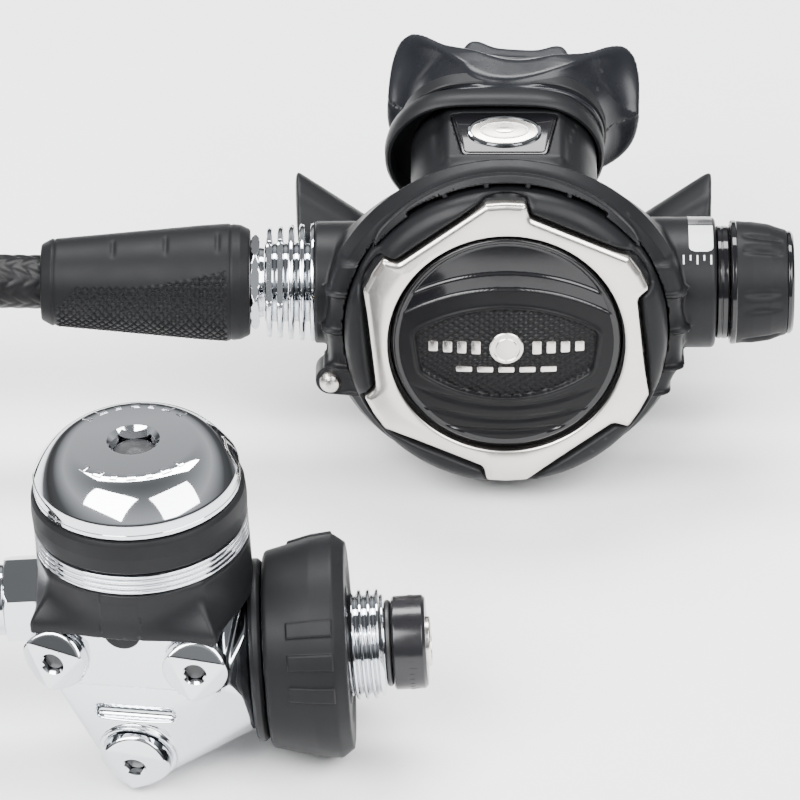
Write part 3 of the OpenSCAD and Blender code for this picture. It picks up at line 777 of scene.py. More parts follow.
def make_handwheel():
    """Rubber handwheel: tapered drum with three groups of three raised grip pads."""
    n, low, high = 720, 23.75, 41.0
    base = filleted([(19.3, low, 0), (20.5, low + 0.4), (20.8, low + 1.6), (22.9, low + 10),
                     (23.4, high - 2.6), (21.6, high - 0.1)], 1.2, 6)
    zs = np.array([p[1] for p in base])
    rs = np.array([p[0] for p in base])
    order = np.argsort(zs)
    a = angles(n)
    pitch, span = math.radians(17.5), 3.7 / 2 / 22.8
    centres = [math.radians(243.5 + 120 * g) + p * pitch for g in range(3) for p in (-1, 0, 1)]

    def pads(z):
        away = np.min([np.abs((a - c + math.pi) % (2 * math.pi) - math.pi) for c in centres], 0)
        side = np.clip((span - away) * 22.8 / 0.35, 0, 1)
        end = min(max((z - 28.6) / 0.4, 0), max((38.4 - z) / 0.4, 0), 1)
        rise = np.minimum(side, end)
        return 0.6 * rise * rise * (3 - 2 * rise)

    stations = np.unique(np.concatenate([np.linspace(*reach) for reach in (
        (low + 0.01, high - 0.11, 60), (28.5, 29.1, 7), (37.9, 38.5, 7))]))
    rings = [circle(10.05, low, n), circle(19.2, low, n)]
    rings += [circle(np.interp(z, zs[order], rs[order]) + pads(z), z, n) for z in stations]
    rings += [circle(r, high - 0.1 + d, n) for r, d in (
        (21.2, 0.06), (20.6, 0.1), (16.6, 0.1), (16.2, -0.3), (12.4, -0.4), (12.1, 0), (10.05, 0))]
    piece("handwheel_grip", loft(rings, closed=True), CONNECTOR, "soft_black", body="connector_wheel",
          replaces=["handwheel"], crease=50)
    ring_mark = lathe([(0.9, -0.2), (1.35, -0.2), (1.35, 0.12), (0.9, 0.12)], 32, 0.08, 2, closed=True)
    spot = CONNECTOR @ turn("Z", 217) @ shift(22.0, 0, 32.5) @ turn("Y", 90)
    piece("handwheel_mark", ring_mark, spot, "soft_black", body="connector_wheel")


def make_connector():
    """Backing ring, threaded sleeve, dark neck, black closure ring and its silver nose."""
    piece("backing_ring_washer", lathe(
        [(12.15, 20.85), (18.2, 20.85), (19.1, 21.6), (19.1, 22.6), (18.5, 23.3), (12.15, 23.3)],
        160, 0.4, closed=True), CONNECTOR, "matte_black", replaces=["din_backing_ring"])
    n, pitch, start, end = 288, 1.814, 41.05, 48.3
    a = angles(n)

    def thread(z):
        phase = (z / pitch - a / (2 * math.pi)) % 1
        tooth = np.clip(1.5 * (1 - 2 * np.abs(phase - 0.5)) - 0.22, 0, 1)
        r = 10.3 + 1.15 * tooth * tooth * (3 - 2 * tooth)
        chamfer = min(11.45, 10.5 + (z - start) * 1.2, 10.2 + (end - z) * 1.3)
        return np.minimum(r, chamfer)

    rings = [circle(7.56, 24.4, n), circle(9.9, 24.4, n), circle(9.9, start - 0.1, n)]
    rings += [circle(thread(z), z, n) for z in np.linspace(start, end, 130)]
    rings += [circle(9.2, end, n), circle(8.9, end - 0.25, n), circle(7.56, end - 0.25, n)]
    piece("thread_sleeve_threads", loft(rings, closed=True), CONNECTOR, "chrome",
          body="connector_wheel", replaces=["din_thread_sleeve"], crease=75)
    piece("closure_ring_shell", lathe(
        [(5.32, 53.2), (6.7, 53.2), (6.7, 49.95), (9.3, 49.95), (9.8, 50.4), (9.8, 56.3), (9.1, 57.0),
         (6.1, 57.0), (5.32, 56.7)], 144, 0.3, closed=True), CONNECTOR, "black_metal",
        replaces=["closure_ring"])
    marks = []
    for k in range(40):
        tall = 0.85 if k % 5 == 0 else 0.45
        bar = prism([(-0.14, -tall), (0.14, -tall), (0.14, tall), (-0.14, tall)], -0.05, 0.05)
        at = turn("Z", 9 * k) @ shift(9.8, 0, 53.4 + tall)
        marks.append(moved(bar, at @ turn("Y", 90) @ turn("Z", 90)))
    piece("closure_ring_ticks", together(*marks), CONNECTOR, "black_metal")
    piece("closure_nose_tip", lathe(
        [(0.01, 53.65), (5.2, 53.65), (5.2, 57.6), (4.9, 57.9), (4.2, 57.9), (4.05, 57.45),
         (3.0, 57.45), (2.8, 57.75), (0.01, 57.75)], 96, 0.15), CONNECTOR, "brushed_nickel",
        body="closure_tip", replaces=["closure_nose"])


def make_hose_fittings():
    """Hexagon nut and banded ferrule where the hose enters the first stage."""
    n = 144
    hexagon = hexagon_radius(17, n)

    def nut(z, low, high):
        edge = min(1.0, (z - low) / 0.9, (high - z) / 0.9)
        return np.minimum(hexagon, 8.55 + 1.4 * math.sqrt(max(edge, 0)))

    low, high = 21.55, 29.9
    zs = np.concatenate([np.linspace(low, low + 1, 8), np.linspace(high - 1, high, 8)])
    rings = [circle(4.3, 12.6, n), circle(4.3, low, n)] + [circle(nut(z, low, high), z, n) for z in zs]
    rings += [circle(2.65, high, n), circle(2.65, 12.6, n)]
    piece("hose_nut_hex", loft(rings, closed=True), HOSE_PORT, "chrome", replaces=["hose_nut"])
    bands = [(2.65, 30.05), (7.4, 30.05)]
    for k in range(3):
        z = 32.2 + 5 * k
        bands += [(7.5, z - 0.3, 0.15), (7.95, z, 0.2), (7.95, z + 2.3, 0.2), (7.5, z + 2.6, 0.15)]
    bands += [(7.5, 47.0, 0.4), (6.9, 47.9), (2.65, 47.9)]
    piece("hose_ferrule_crimp", lathe(bands, 96, 0.3, closed=True), HOSE_PORT, "chrome",
          replaces=["hose_ferrule"])


# ---------- hose ----------

HOSE_R = 6.0
BRAID_STRANDS = 12
HOSE_ROUTE = [
    (-79, 115.5, 40.9), (-95, 115.5, 40.9), (-115, 116.5, 38), (-138, 118.5, 31),
    (-160, 119, 25), (-184, 114, 19), (-206, 100, 14), (-220, 80, 10), (-225, 57, 7),
    (-220, 33, 6), (-205, 13, 6), (-184, 0, 6), (-160, -5, 6), (-137, 0, 6),
    (-117, 14, 6), (-105, 34, 6), (-101, 58, 6), (-105, 81, 6), (-118, 101, 6),
    (-137, 113, 6), (-158, 116, 6), (-179, 111, 6), (-196, 98, 6), (-207, 79, 6),
    (-210, 58, 6), (-206, 38, 6), (-195, 21, 7.5), (-178, 10, 12), (-158, 6, 18),
    (-138, 5, 25), (-117, 5, 30), (-100.3, 5, 31),
]
ROUTE_SHIFT = np.array((7.3, -81.3, 0.0))


def smooth_line(points, step):
    """Evenly spaced points along a Catmull-Rom curve."""
    p = np.array(points, float)
    p = np.concatenate([[2 * p[0] - p[1]], p, [2 * p[-1] - p[-2]]])
    t = np.linspace(0, 1, 40, endpoint=False)[:, None]
    line = []
    for a, b, c, d in zip(p[:-3], p[1:-2], p[2:-1], p[3:]):
        line.append(0.5 * (2 * b + (c - a) * t + (2 * a - 5 * b + 4 * c - d) * t * t
                           + (3 * b - a - 3 * c + d) * t ** 3))
    line = np.concatenate(line + [p[-2:-1]])
    run = np.concatenate([[0], np.cumsum(np.linalg.norm(np.diff(line, axis=0), axis=1))])
    at = np.linspace(0, run[-1], int(run[-1] / step))
    return np.stack([np.interp(at, run, line[:, k]) for k in range(3)], 1), run[-1]


def braid_height(a, s):
    """Height of a two-over, two-under braid at angle a and length s, 0 to 1."""
    lead = 2 * math.pi * HOSE_R / BRAID_STRANDS
    u = a / (2 * math.pi) * BRAID_STRANDS
    v = s / (lead * 1.12)
    p, q = u + v, u - v
    i, j = np.floor(p), np.floor(q)
    over = ((i + j) % 4) < 2
    fp, fq = p - i - 0.5, q - j - 0.5
    cross = np.where(over, fp, fq)
    along = np.where(over, fq, fp)
    lean = np.where(((i + j) % 2) < 1, -along, along)
    dome = np.sqrt(np.maximum(1 - (2 * cross) ** 2 * 0.92, 0.02))
    return dome * (0.72 + 0.28 * np.cos((lean + 0.5) * math.pi * 0.5))


def make_hose():
    """Braided hose: free length between the grip and the first stage's ferrule."""
    line, length = smooth_line(HOSE_ROUTE, 0.42)
    line = line + ROUTE_SHIFT
    tangent = np.gradient(line, axis=0)
    tangent /= np.linalg.norm(tangent, axis=1, keepdims=True)
    n = 112
    a = angles(n)
    side = np.cross(tangent[0], (0, 0, 1))
    side /= np.linalg.norm(side)
    rings = []
    for i, (p, t) in enumerate(zip(line, tangent)):
        side = side - t * (side @ t)
        side /= np.linalg.norm(side)
        up = np.cross(t, side)
        s = length * i / (len(line) - 1)
        r = HOSE_R - 0.48 + 0.46 * braid_height(a, s)
        rings.append(p + r[:, None] * (np.cos(a)[:, None] * side + np.sin(a)[:, None] * up))
    hose = piece("hose_braid", loft(rings), np.eye(4), "braid", replaces=["hose_tube"], crease=60)


def make_grip():
    """Rubber sleeve over the hose end, with a scaled grip panel on its lower side."""
    n, left, right = 384, -101.9, -55.9
    a = angles(n)
    elevation = np.degrees(np.arctan2(-np.cos(a), -np.sin(a)))
    outline = filleted([(6.2, left, 0), (8.3, left), (9.55, left + 2.3), (9.75, left + 5),
                        (12.5, right - 11), (12.9, right - 5), (12.6, right - 2.2),
                        (11.6, right - 0.1), (8.6, right, 0)], 0.8, 4)
    zs, rs = np.array([p[1] for p in outline]), np.array([p[0] for p in outline])

    def height(z):
        r = float(np.interp(z, zs, rs))
        t = (z - left) / (right - left)
        top = 20 + 17 * np.clip((t - 0.45) / 0.43, 0, 1) ** 1.3
        start, end = left + 3.4 + 4.2 * np.clip((elevation + 10) / 30, 0, 1), right - 4.9
        inside = np.minimum(top - elevation, elevation + 112) * r * math.pi / 180
        inside = np.minimum(inside, np.minimum(z - start, end - z))
        mask = np.clip(inside / 0.5, 0, 1)
        u, v = z / 1.75, elevation * math.pi / 180 * 11.0 / 1.15
        scale = np.minimum((u + v / 2) % 1, 1 - (u - v / 2) % 1) * 2
        knurl = -0.28 + 0.42 * np.clip(scale, 0, 1) ** 0.8
        notch = 0
        for c in (-86.0, -74.4, -63.0):
            lens = np.exp(-((z - c) / 0.55) ** 2) * np.exp(-((elevation - 70) / 14) ** 4)
            notch = notch + 0.4 * lens
        groove = sum(0.22 * math.exp(-((z - c) / 0.25) ** 2) for c in (left + 3.0, right - 4.3))
        return r + mask * knurl - notch - groove

    stations = np.unique(np.concatenate([zs[1:-1], np.arange(left + 0.6, right - 0.6, 0.3)]))
    rings = [circle(6.1, left + 3, n), circle(6.2, left, n)]
    rings += [circle(height(z), z, n) for z in stations]
    rings += [circle(8.9, right, n), circle(8.6, right - 0.5, n), circle(6.1, right - 0.5, n)]
    piece("hose_grip_sleeve", loft(rings, closed=True), BARREL, "soft_black", replaces=["hose_grip"],
          crease=45)


def make_swivel():
    """Hexagon nut, dark neck and the five-finned chrome heat exchanger."""
    n = 144
    hexagon = hexagon_radius(18, n, math.pi / 6)
    low, high = -55.85, -53.9

    def nut(z):
        edge = max(min((z - low) / 0.8, (high - z) / 0.8, 1.0), 0.0)
        return np.minimum(hexagon, 9.1 + 1.35 * math.sqrt(edge))

    rings = [circle(4.05, low, n)] + [circle(nut(z), z, n) for z in np.linspace(low, high, 12)]
    rings += [circle(7.8, high + 0.05, n), circle(7.6, -52.9, n), circle(4.05, -52.9, n)]
    piece("swivel_nut_hex", loft(rings, closed=True), BARREL, "chrome", replaces=["swivel_nut"])
    n = 384
    a = angles(n)
    flat = 9.75 / np.maximum(np.abs(np.sin(a + math.radians(36))), 1e-3)
    core = 8.7
    rings = [circle(4.05, -52.75, n), circle(core, -52.75, n)]
    for k in range(5):
        z, tip = -52.35 + 2.4 * k, 12.15 + 0.24 * k
        shape = [(core, z - 0.35), (core + 0.25, z - 0.12), (tip - 0.55, z), (tip - 0.16, z + 0.14),
                 (tip, z + 0.45), (tip, z + 0.75), (tip - 0.16, z + 1.06), (tip - 0.55, z + 1.2),
                 (core + 0.25, z + 1.32), (core, z + 1.5)]
        for r, at in shape:
            ring = np.full(n, r)
            rings.append(circle(np.minimum(ring, flat) if k < 2 else ring, min(at, -41.95), n))
    rings += [circle(4.05, -41.95, n)]
    piece("heat_exchanger_fins", loft(rings, closed=True), BARREL, "chrome",
          replaces=["heat_exchanger"], crease=38)


# ---------- second stage ----------

RIM_R, BUTTON_R = 25.8, 25.1
# Fall of the purge button's face at its edge, and the circle that bounds its satin part
DOME, ARCH_Y, ARCH_R = 2.6, -28.5, 42.0
PIN_AT = (-38.3, -13.0)
FLANK_RIBS = (8.2, -0.6, -9.4, -16.0)
# Half the distance between the round ends of the mouthpiece tube's section
OVAL = 7.5
# The mouthpiece sits a little to one side and is slightly skewed
MOUTH_X, MOUTH_SKEW = 2.2, 0.087


def lobed_line():
    """Outline of the trim ring: six lobes, each ending in a step on its clockwise side."""
    corners = []
    for k in range(6):
        a = 98 - 60 * k
        corners += [(33.5, a, 1.0), (33.5, a - 7.5, 0), (33.5, a - 15, 1.0), (30.4, a - 17.6, 1.6)]
    points = [(r * math.cos(math.radians(t)), r * math.sin(math.radians(t)), f) for r, t, f in corners]
    points = points[1:] + points[:2]
    line = filleted(points, 1.0, 5)
    return line[:-1]


def by_angle(line, n):
    """Radius of a star-shaped outline at each of n angles."""
    pts = np.array(line)
    out = np.zeros(n)
    for k, t in enumerate(angles(n)):
        d = np.array([math.cos(t), math.sin(t)])
        a, b = pts, np.roll(pts, -1, 0)
        e = b - a
        den = d[0] * e[:, 1] - d[1] * e[:, 0]
        den = np.where(np.abs(den) < 1e-9, 1e-9, den)
        hit = (a[:, 0] * e[:, 1] - a[:, 1] * e[:, 0]) / den
        at = (a[:, 0] * d[1] - a[:, 1] * d[0]) / den
        good = (at >= -1e-6) & (at <= 1 + 1e-6) & (hit > 0)
        out[k] = hit[good].max()
    return out


def inset(radius, amount, n):
    """Star-shaped outline moved inwards by amount along its own normal."""
    a = angles(n)
    x, y = radius * np.cos(a), radius * np.sin(a)
    tx, ty = np.gradient(np.concatenate([x, x, x])), np.gradient(np.concatenate([y, y, y]))
    tx, ty = tx[n:2 * n], ty[n:2 * n]
    size = np.hypot(tx, ty)
    return x - ty / size * amount, y + tx / size * amount


def make_trim_ring():
    """Satin nickel ring with bright rounded edges, its inner rim a plain circle."""
    n = 720
    outer = by_angle(lobed_line(), n)
    steps = []
    for depth, z in ((0.0, -1.9), (0.0, -0.35), (0.12, 0.1), (0.42, 0.48), (0.9, 0.74), (1.35, 0.84)):
        x, y = inset(outer, depth, n)
        steps.append(np.stack([x, y, np.full(n, z)], 1))
    flat_inner = circle(RIM_R + 0.45, 0.88, n)
    mid = steps[-1] * 0.5 + flat_inner * 0.5
    mid[:, 2] = 0.9
    rings = steps + [mid, flat_inner]
    rings += [circle(r, z, n) for r, z in ((RIM_R + 0.12, 0.72), (RIM_R, 0.4), (RIM_R, -1.9))]
    piece("trim_ring_plate", loft(rings, closed=True), FRONT, "brushed_nickel", replaces=["trim_ring"],
          crease=48)


def panel_distance(x, y):
    """Signed distance to the curved six-sided panel on the purge button."""
    top = np.hypot(x, y + 26.6) - 35.4
    bottom = np.hypot(x, y - 19.4) - 31.8
    side = (np.abs(x) - 19.9 + 0.14 * np.abs(y - 2.5)) * 0.99
    return smooth_max(smooth_max(top, bottom, 1.2), side, 1.2)


def button_height(x, y):
    """Height of the purge button's face, towards the viewer."""
    r = np.hypot(x, y)
    h = 2.0 - DOME * (r / BUTTON_R) ** 2
    rim = smooth_step(r - 23.6, 0.8)
    h = h * (1 - rim) + rim * (-0.15) - 1.3 * np.clip((r - 24.4) / 0.7, 0, 1) ** 2
    upper = smooth_step(np.hypot(x, y + 25) - 42.0, 0.5) * (1 - rim)
    h = h - upper * (0.55 - 0.03 * (y - 17))
    ledge = smooth_step(np.hypot(x, y - ARCH_Y) - ARCH_R, 0.5) * (1 - rim)
    h = h - ledge * 0.35 * (1 - upper)
    d = panel_distance(x, y)
    lip = np.exp(-((d - 0.55) / 0.42) ** 2)
    inside = smooth_step(-d, 0.5)
    p, q = x / 2.2 + y / 1.47, x / 2.2 - y / 1.47
    diamond = 1 - np.maximum(np.abs(p % 1 - 0.5), np.abs(q % 1 - 0.5)) * 2
    h = h + 0.3 * lip - inside * (0.95 - 0.36 * np.clip(diamond * 1.2, 0, 1))
    for centre, radius, half, thick in (
            (-14.7, 48, 20.7, 0.9), (-18.2, 58, 18.6, 0.9), (-21.4, 56, 14, 0.7)):
        ring = np.hypot(x, y - centre - radius) - radius
        reach = np.clip(1 - (x / half) ** 2, 0, 1)
        groove = np.exp(-(ring / (thick * (0.3 + 0.7 * reach))) ** 2) * np.clip(reach * 2.0, 0, 1)
        h = h - 0.5 * groove * (1 - rim)
    return h


def make_button():
    """Gloss purge button: arched ledges, a knurled panel, grooves and plain silver marks."""
    n = 560
    a = angles(n)
    radii = np.arange(0.3, BUTTON_R - 0.05, 0.24)
    rings = [circle(r, button_height(r * np.cos(a), r * np.sin(a)), n)
             for r in (BUTTON_R, *radii[::-1], 0.05)]
    back = [circle(5.1, -9.2, n), circle(5.2, -2.5, n), circle(25.0, -2.5, n)]

    def satin(x, y, z):
        return (np.hypot(x, y - ARCH_Y) < ARCH_R) & (np.hypot(x, y) < 23.4)

    piece("purge_button_face", loft(back + rings), FRONT, "gloss_black", body="purge",
          replaces=["purge_button"], crease=70, second=("satin_black", satin))

    def tray(x, half, y0, y1, c=0.35):
        left, right, low, high = x - half + c, x + half - c, y0 + c, y1 - c
        line = []
        for k, corner in enumerate(((right, high), (left, high), (left, low), (right, low))):
            line += arc(*corner, c, 90 * k, 90 * k + 90, 4)
        verts, faces = prism(line, 0.6, 1.75, 0.12, 2, bottom=False)
        r2 = verts[:, 0] ** 2 + verts[:, 1] ** 2
        verts[:, 2] -= DOME * r2 / BUTTON_R ** 2
        return verts, faces

    bars = [tray(side * (6.6 + 3.1 * k), 1.0, -1.9 + 0.12 * k, 1.3 - 0.12 * k)
            for side in (-1, 1) for k in range(4)]
    bars += [tray(-9.2 + 4.6 * k, 1.75, -6.3, -4.9) for k in range(5)]
    disc = moved(lathe([(0.01, 0.5), (3.7, 0.5), (3.7, 1.75), (3.5, 1.92), (3.0, 1.92), (2.85, 1.78),
                        (2.35, 1.78), (2.2, 1.92), (0.01, 1.92)], 64, 0.06, 2), shift(0, -0.4, 0))
    piece("purge_button_marks", together(*bars, disc), FRONT, "brushed_nickel", body="purge")


def make_cover():
    """Matte cover: pillows between the ring's lobes and a deep rolled edge."""
    n = 720
    a = angles(n)
    lobes = by_angle(lobed_line(), n)
    degrees = np.degrees(a)
    from_lobe = np.min([np.abs((degrees - (90.5 - 60 * k) + 180) % 360 - 180) for k in range(6)], 0)
    valley = np.clip(1 - from_lobe / 11.5, 0, 1)
    valley = valley * valley * (3 - 2 * valley)
    rings = [circle(25.4, -9.1, n), circle(25.4, -1.96, n), circle(27.0, -1.96, n)]
    for t in np.linspace(0, 1, 26):
        r = 27.0 + (34.2 - 27.0) * t
        past = np.clip((r - lobes - 0.15) / 1.5, -1, 1)
        swell = np.where(past > 0, np.sin(np.clip(past, 0, 1) * math.pi / 2), 0)
        crown = -2.0 + 2.35 * swell * (1 - valley)
        fall = -1.9 * np.clip((r - 31.4) / 2.8, 0, 1) ** 2
        rings.append(circle(r, crown + fall * 0.8 - valley * 0.3, n))
    last = rings[-1][:, 2]
    for t in np.linspace(0.15, 1, 7):
        r = 34.2 + math.sin(t * math.pi / 2)
        z = -4.6 + 2.2 * math.cos(t * math.pi / 2)
        rings.append(circle(r, last * (1 - t) ** 2 + z * (1 - (1 - t) ** 2), n))
    rings += [circle(35.2, -9.1, n)]
    piece("front_cover_rim", loft(rings, closed=True), FRONT, "matte_black", replaces=["front_cover"],
          crease=50)


def tube_axes(y, z):
    """Height above and distance along the mouthpiece tube, from second-stage depth and height."""
    c, s = math.cos(math.radians(TUBE_TILT)), math.sin(math.radians(TUBE_TILT))
    dy, dz = y - TUBE_Y, z - TUBE_Z
    return -dy * s + dz * c, dy * c + dz * s


def case_field(x, y, z):
    """Second-stage case: domed shell, ribbed flanks, two barrels and the mouthpiece tube."""
    r = np.hypot(x, z)
    top = np.clip(z / np.maximum(r, 1), 0, 1)
    low = np.clip(-z / np.maximum(r, 1), 0, 1)
    squeeze = r + 1.4 * low ** 2 + (1.6 + 0.5 * np.clip(y - 13, 0, 9)) * np.clip(top - 0.4, 0, 1) / 0.6
    shell = lathe_field(squeeze, y, [
        (0, 7), (34.5, 7), (37.4, 9.5), (38.8, 13), (38.0, 22), (35, 29.5), (30, 34.2), (0, 35.2)], 0.8)
    angle = np.degrees(np.arctan2(z, x))
    reach = smooth_step(54 - np.abs(angle - 90), 12)
    brow = lathe_field(r + 1.5 * (1 - np.clip(top, 0.6, 1)) / 0.4 + 1.5 * (1 - reach), y, [
        (0, 5.2), (36.6, 4.0), (37.6, 4.6), (37.6, 6), (36.6, 9), (35.4, 12.5), (34.2, 16),
        (31.8, 22), (28, 30), (0, 31)], 0.4)
    brow = smooth_max(brow, 12 - z, 2.5)
    body = smooth_min(shell, brow, 1.2)
    rib = sum(np.exp(-((z - at) / 0.5) ** 2) for at in FLANK_RIBS)
    under = FLANK_RIBS[0] - z
    dent = 0.8 * np.abs(np.sin(under * math.pi / 8.8)) * smooth_step(under, 0.6)
    flank = smooth_max(r - 39.6, np.abs(y - 15.6) - 9.0, 3.2)
    flank = flank - 0.75 * rib + dent
    flank = smooth_max(flank, np.maximum(-16.3 - z, z - 15.5), 1.0)
    flank = smooth_max(flank, 30 - np.abs(x), 2.0)
    body = smooth_min(body, flank, 0.7)
    by, bz = y - BARREL_Y, z - BARREL_Z
    left = rod(by, bz, x, 13.4, -41.85, -15, 0.7)
    right = rod(by, bz, x, 14.35, 15, 46.05, 1.1)
    body = smooth_min(body, np.minimum(left, right), 0.8)
    v, s = tube_axes(y, z)
    along = np.clip(s, -10, 40)
    swell = 0.7 * np.clip((10 - along) / 20, 0, 1)
    tube = oval_rod(x, v, s, 13.1 + swell, 7.6, -16, 31.0, 0.8)
    tube = np.minimum(tube, oval_rod(x, v, s, 12.5, OVAL, 20, 38, 0.4))
    body = smooth_min(body, tube, 6.0)
    pad = block(x, v - 9.0, s - 21.5, (12.8, 3.95, 8.3), 1.0)
    body = smooth_min(body, pad, 2.6)
    for at in (-15.6, 17.0):
        dimple = np.sqrt(((x - at) / 1.5) ** 2 + ((v - 12.2) / 2.1) ** 2 + ((s - 26.5) / 9.5) ** 2) - 1
        body = smooth_max(body, -dimple * 1.3, 0.7)
    lug = rod(x - PIN_AT[0], z - PIN_AT[1], y, 3.3, 7.6, 15.5, 0.8)
    return smooth_min(body, lug, 2.2)


def make_case():
    """The case with its hollow, bores and the slots above the cover."""

    def field(x, y, z):
        r = np.hypot(x, z)
        body = case_field(x, y, z)
        cavity = [(0, 9), (32.5, 9), (32.5, 12.0), (29, 17), (26, 23), (22, 30), (0, 30)]
        hollow = np.minimum(rod(x, z, y, 35.55, -5, 10.2, 0.3), lathe_field(r, y, cavity, 0.8))
        angle = np.degrees(np.arctan2(x, z))
        slot = np.maximum(np.abs(r - 35.5) - 0.92, np.abs(y - 3) - 6.3)
        away = np.abs(angle)
        ribs = 0.55 - np.minimum(np.abs(away - 7.2), np.abs(away - 22)) * 0.63
        slot = np.maximum(np.maximum(slot, (away - 37) * 0.63), ribs)
        by, bz = y - BARREL_Y, z - BARREL_Z
        bore = np.minimum(rod(by, bz, x, 7.15, -60, 60, 0.1), rod(by, bz, x, 9.6, 44.2, 60, 0.1))
        v, s = tube_axes(y, z)
        bore = np.minimum(bore, oval_rod(x, v, s, 10.5, OVAL, -14, 60, 0.2))
        bore = np.minimum(bore, rod(x, z - EXHAUST_Z, y, 9.5, 28, 44, 0.2))
        bore = np.minimum(bore, rod(x - PIN_AT[0], z - PIN_AT[1], y, 1.7, 0, 12, 0.1))
        seat = np.maximum(trapezoid(x, s - 21) - 0.22, np.abs(v - 13.4) - 0.75)
        carve = np.minimum(np.minimum(hollow, slot), np.minimum(bore, seat))
        return smooth_max(body, -carve, 0.25)

    cast("second_body_case", field, (-44.5, 2.5, -40.5), (47.5, 70, 41.5), 0.45, SECOND, "matte_black",
         replaces=["second_body"])
    piece("cover_pin_head", lathe(
        [(0.01, -11.8), (1.6, -11.8), (1.6, -8.45), (2.5, -8.4), (2.5, -7.6), (2.3, -6.9), (1.8, -6.3),
         (1.1, -5.95), (0.01, -5.85)], 64, 0.2), SECOND @ shift(PIN_AT[0], 0, PIN_AT[1])
        @ turn("X", 90), "brushed_nickel", replaces=["cover_pin"])


def trapezoid(x, s):
    """Distance-like value of the emblem plate's outline; s runs away from the viewer."""
    half = 10.6 + 1.3 * np.clip(s, -7, 7) / 7
    return smooth_max(np.abs(x) - half, np.abs(s) - 6.6, 1.4)


def make_emblem():
    """Gloss plate with a bright rim, and an oval badge with plain rings."""
    top = TUBE @ shift(0, -12.75, 21) @ turn("X", 90)
    corners = [(0, -6.6), (9.3, -6.6, 1.4), (11.9, 6.6, 1.6), (-11.9, 6.6, 1.6),
               (-9.3, -6.6, 1.4), (0, -6.6)]
    line = filleted(corners, 1.2, 6)[:-1]
    small = [(p[0] * 0.955, p[1] * 0.93) for p in line]
    piece("emblem_plate_rim", prism(line, 0.0, 0.62, 0.22, 3), top, "gloss_black")
    piece("emblem_plate_gloss", prism(small, 0.3, 0.86, 0.3, 4), top, "gloss_black",
          replaces=["emblem_plate"])
    n = 144
    a = angles(n)

    def oval(rx, ry, z):
        return np.stack([rx * np.cos(a), ry * np.sin(a) + 0.4, np.full(n, z)], 1)

    rings = [oval(8.3, 5.0, 0.75), oval(8.3, 5.0, 1.2), oval(8.1, 4.8, 1.5), oval(7.75, 4.45, 1.62),
             oval(7.45, 4.15, 1.5), oval(7.3, 4.0, 1.25)]
    piece("badge_bezel", loft(rings, caps=True), top, "chrome", replaces=["emblem_badge"])
    rings = [oval(7.3, 4.0, 0.9), oval(7.3, 4.0, 1.28), oval(5.4, 2.75, 1.42), oval(5.3, 2.65, 1.58),
             oval(4.9, 2.3, 1.58), oval(4.8, 2.2, 1.46), oval(2.2, 0.95, 1.5), oval(2.1, 0.85, 1.7),
             oval(0.05, 0.02, 1.78)]
    piece("badge_centre", loft(rings), top, "brushed_nickel", crease=40)


def curved_tab(x0, x1, start, end, r, thick, corner, steps=24):
    """Thin tab wrapped on a barrel between two elevations, its first end rounded."""
    rings = []
    for t in np.linspace(0, 1, steps):
        angle = math.radians(start + (end - start) * t)
        run = (end - start) * t * math.pi / 180 * r
        trim = corner - math.sqrt(max(corner ** 2 - max(corner - run, 0) ** 2, 0)) if corner else 0
        left, right, low, high = x0 + trim, x1 - trim, r - 0.3, r + thick
        rings.append(np.array([
            (x, BARREL_Y - rr * math.cos(angle), BARREL_Z + rr * math.sin(angle))
            for x, rr in ((left, low), (left, high), (right, high), (right, low))]))
    return loft(rings)


def make_window():
    """Silver tab, dark line and plain tick marks on the knob-side barrel."""
    r = 14.35
    piece("barrel_tab_silver", curved_tab(40.0, 45.3, 53, 84.6, r, 0.06, 1.3), SECOND, "white_plastic")
    piece("barrel_tab_grey", curved_tab(40.0, 45.3, 86.4, 128, r, 0.06, 0), SECOND, "spring_steel")
    ticks = [curved_tab(38.6 + 1.5 * k, 38.95 + 1.5 * k, 44.5 if k % 2 else 41.0, 49.5, r, 0.05, 0, 8)
             for k in range(5)]
    piece("barrel_ticks", together(*ticks), SECOND, "white_plastic")


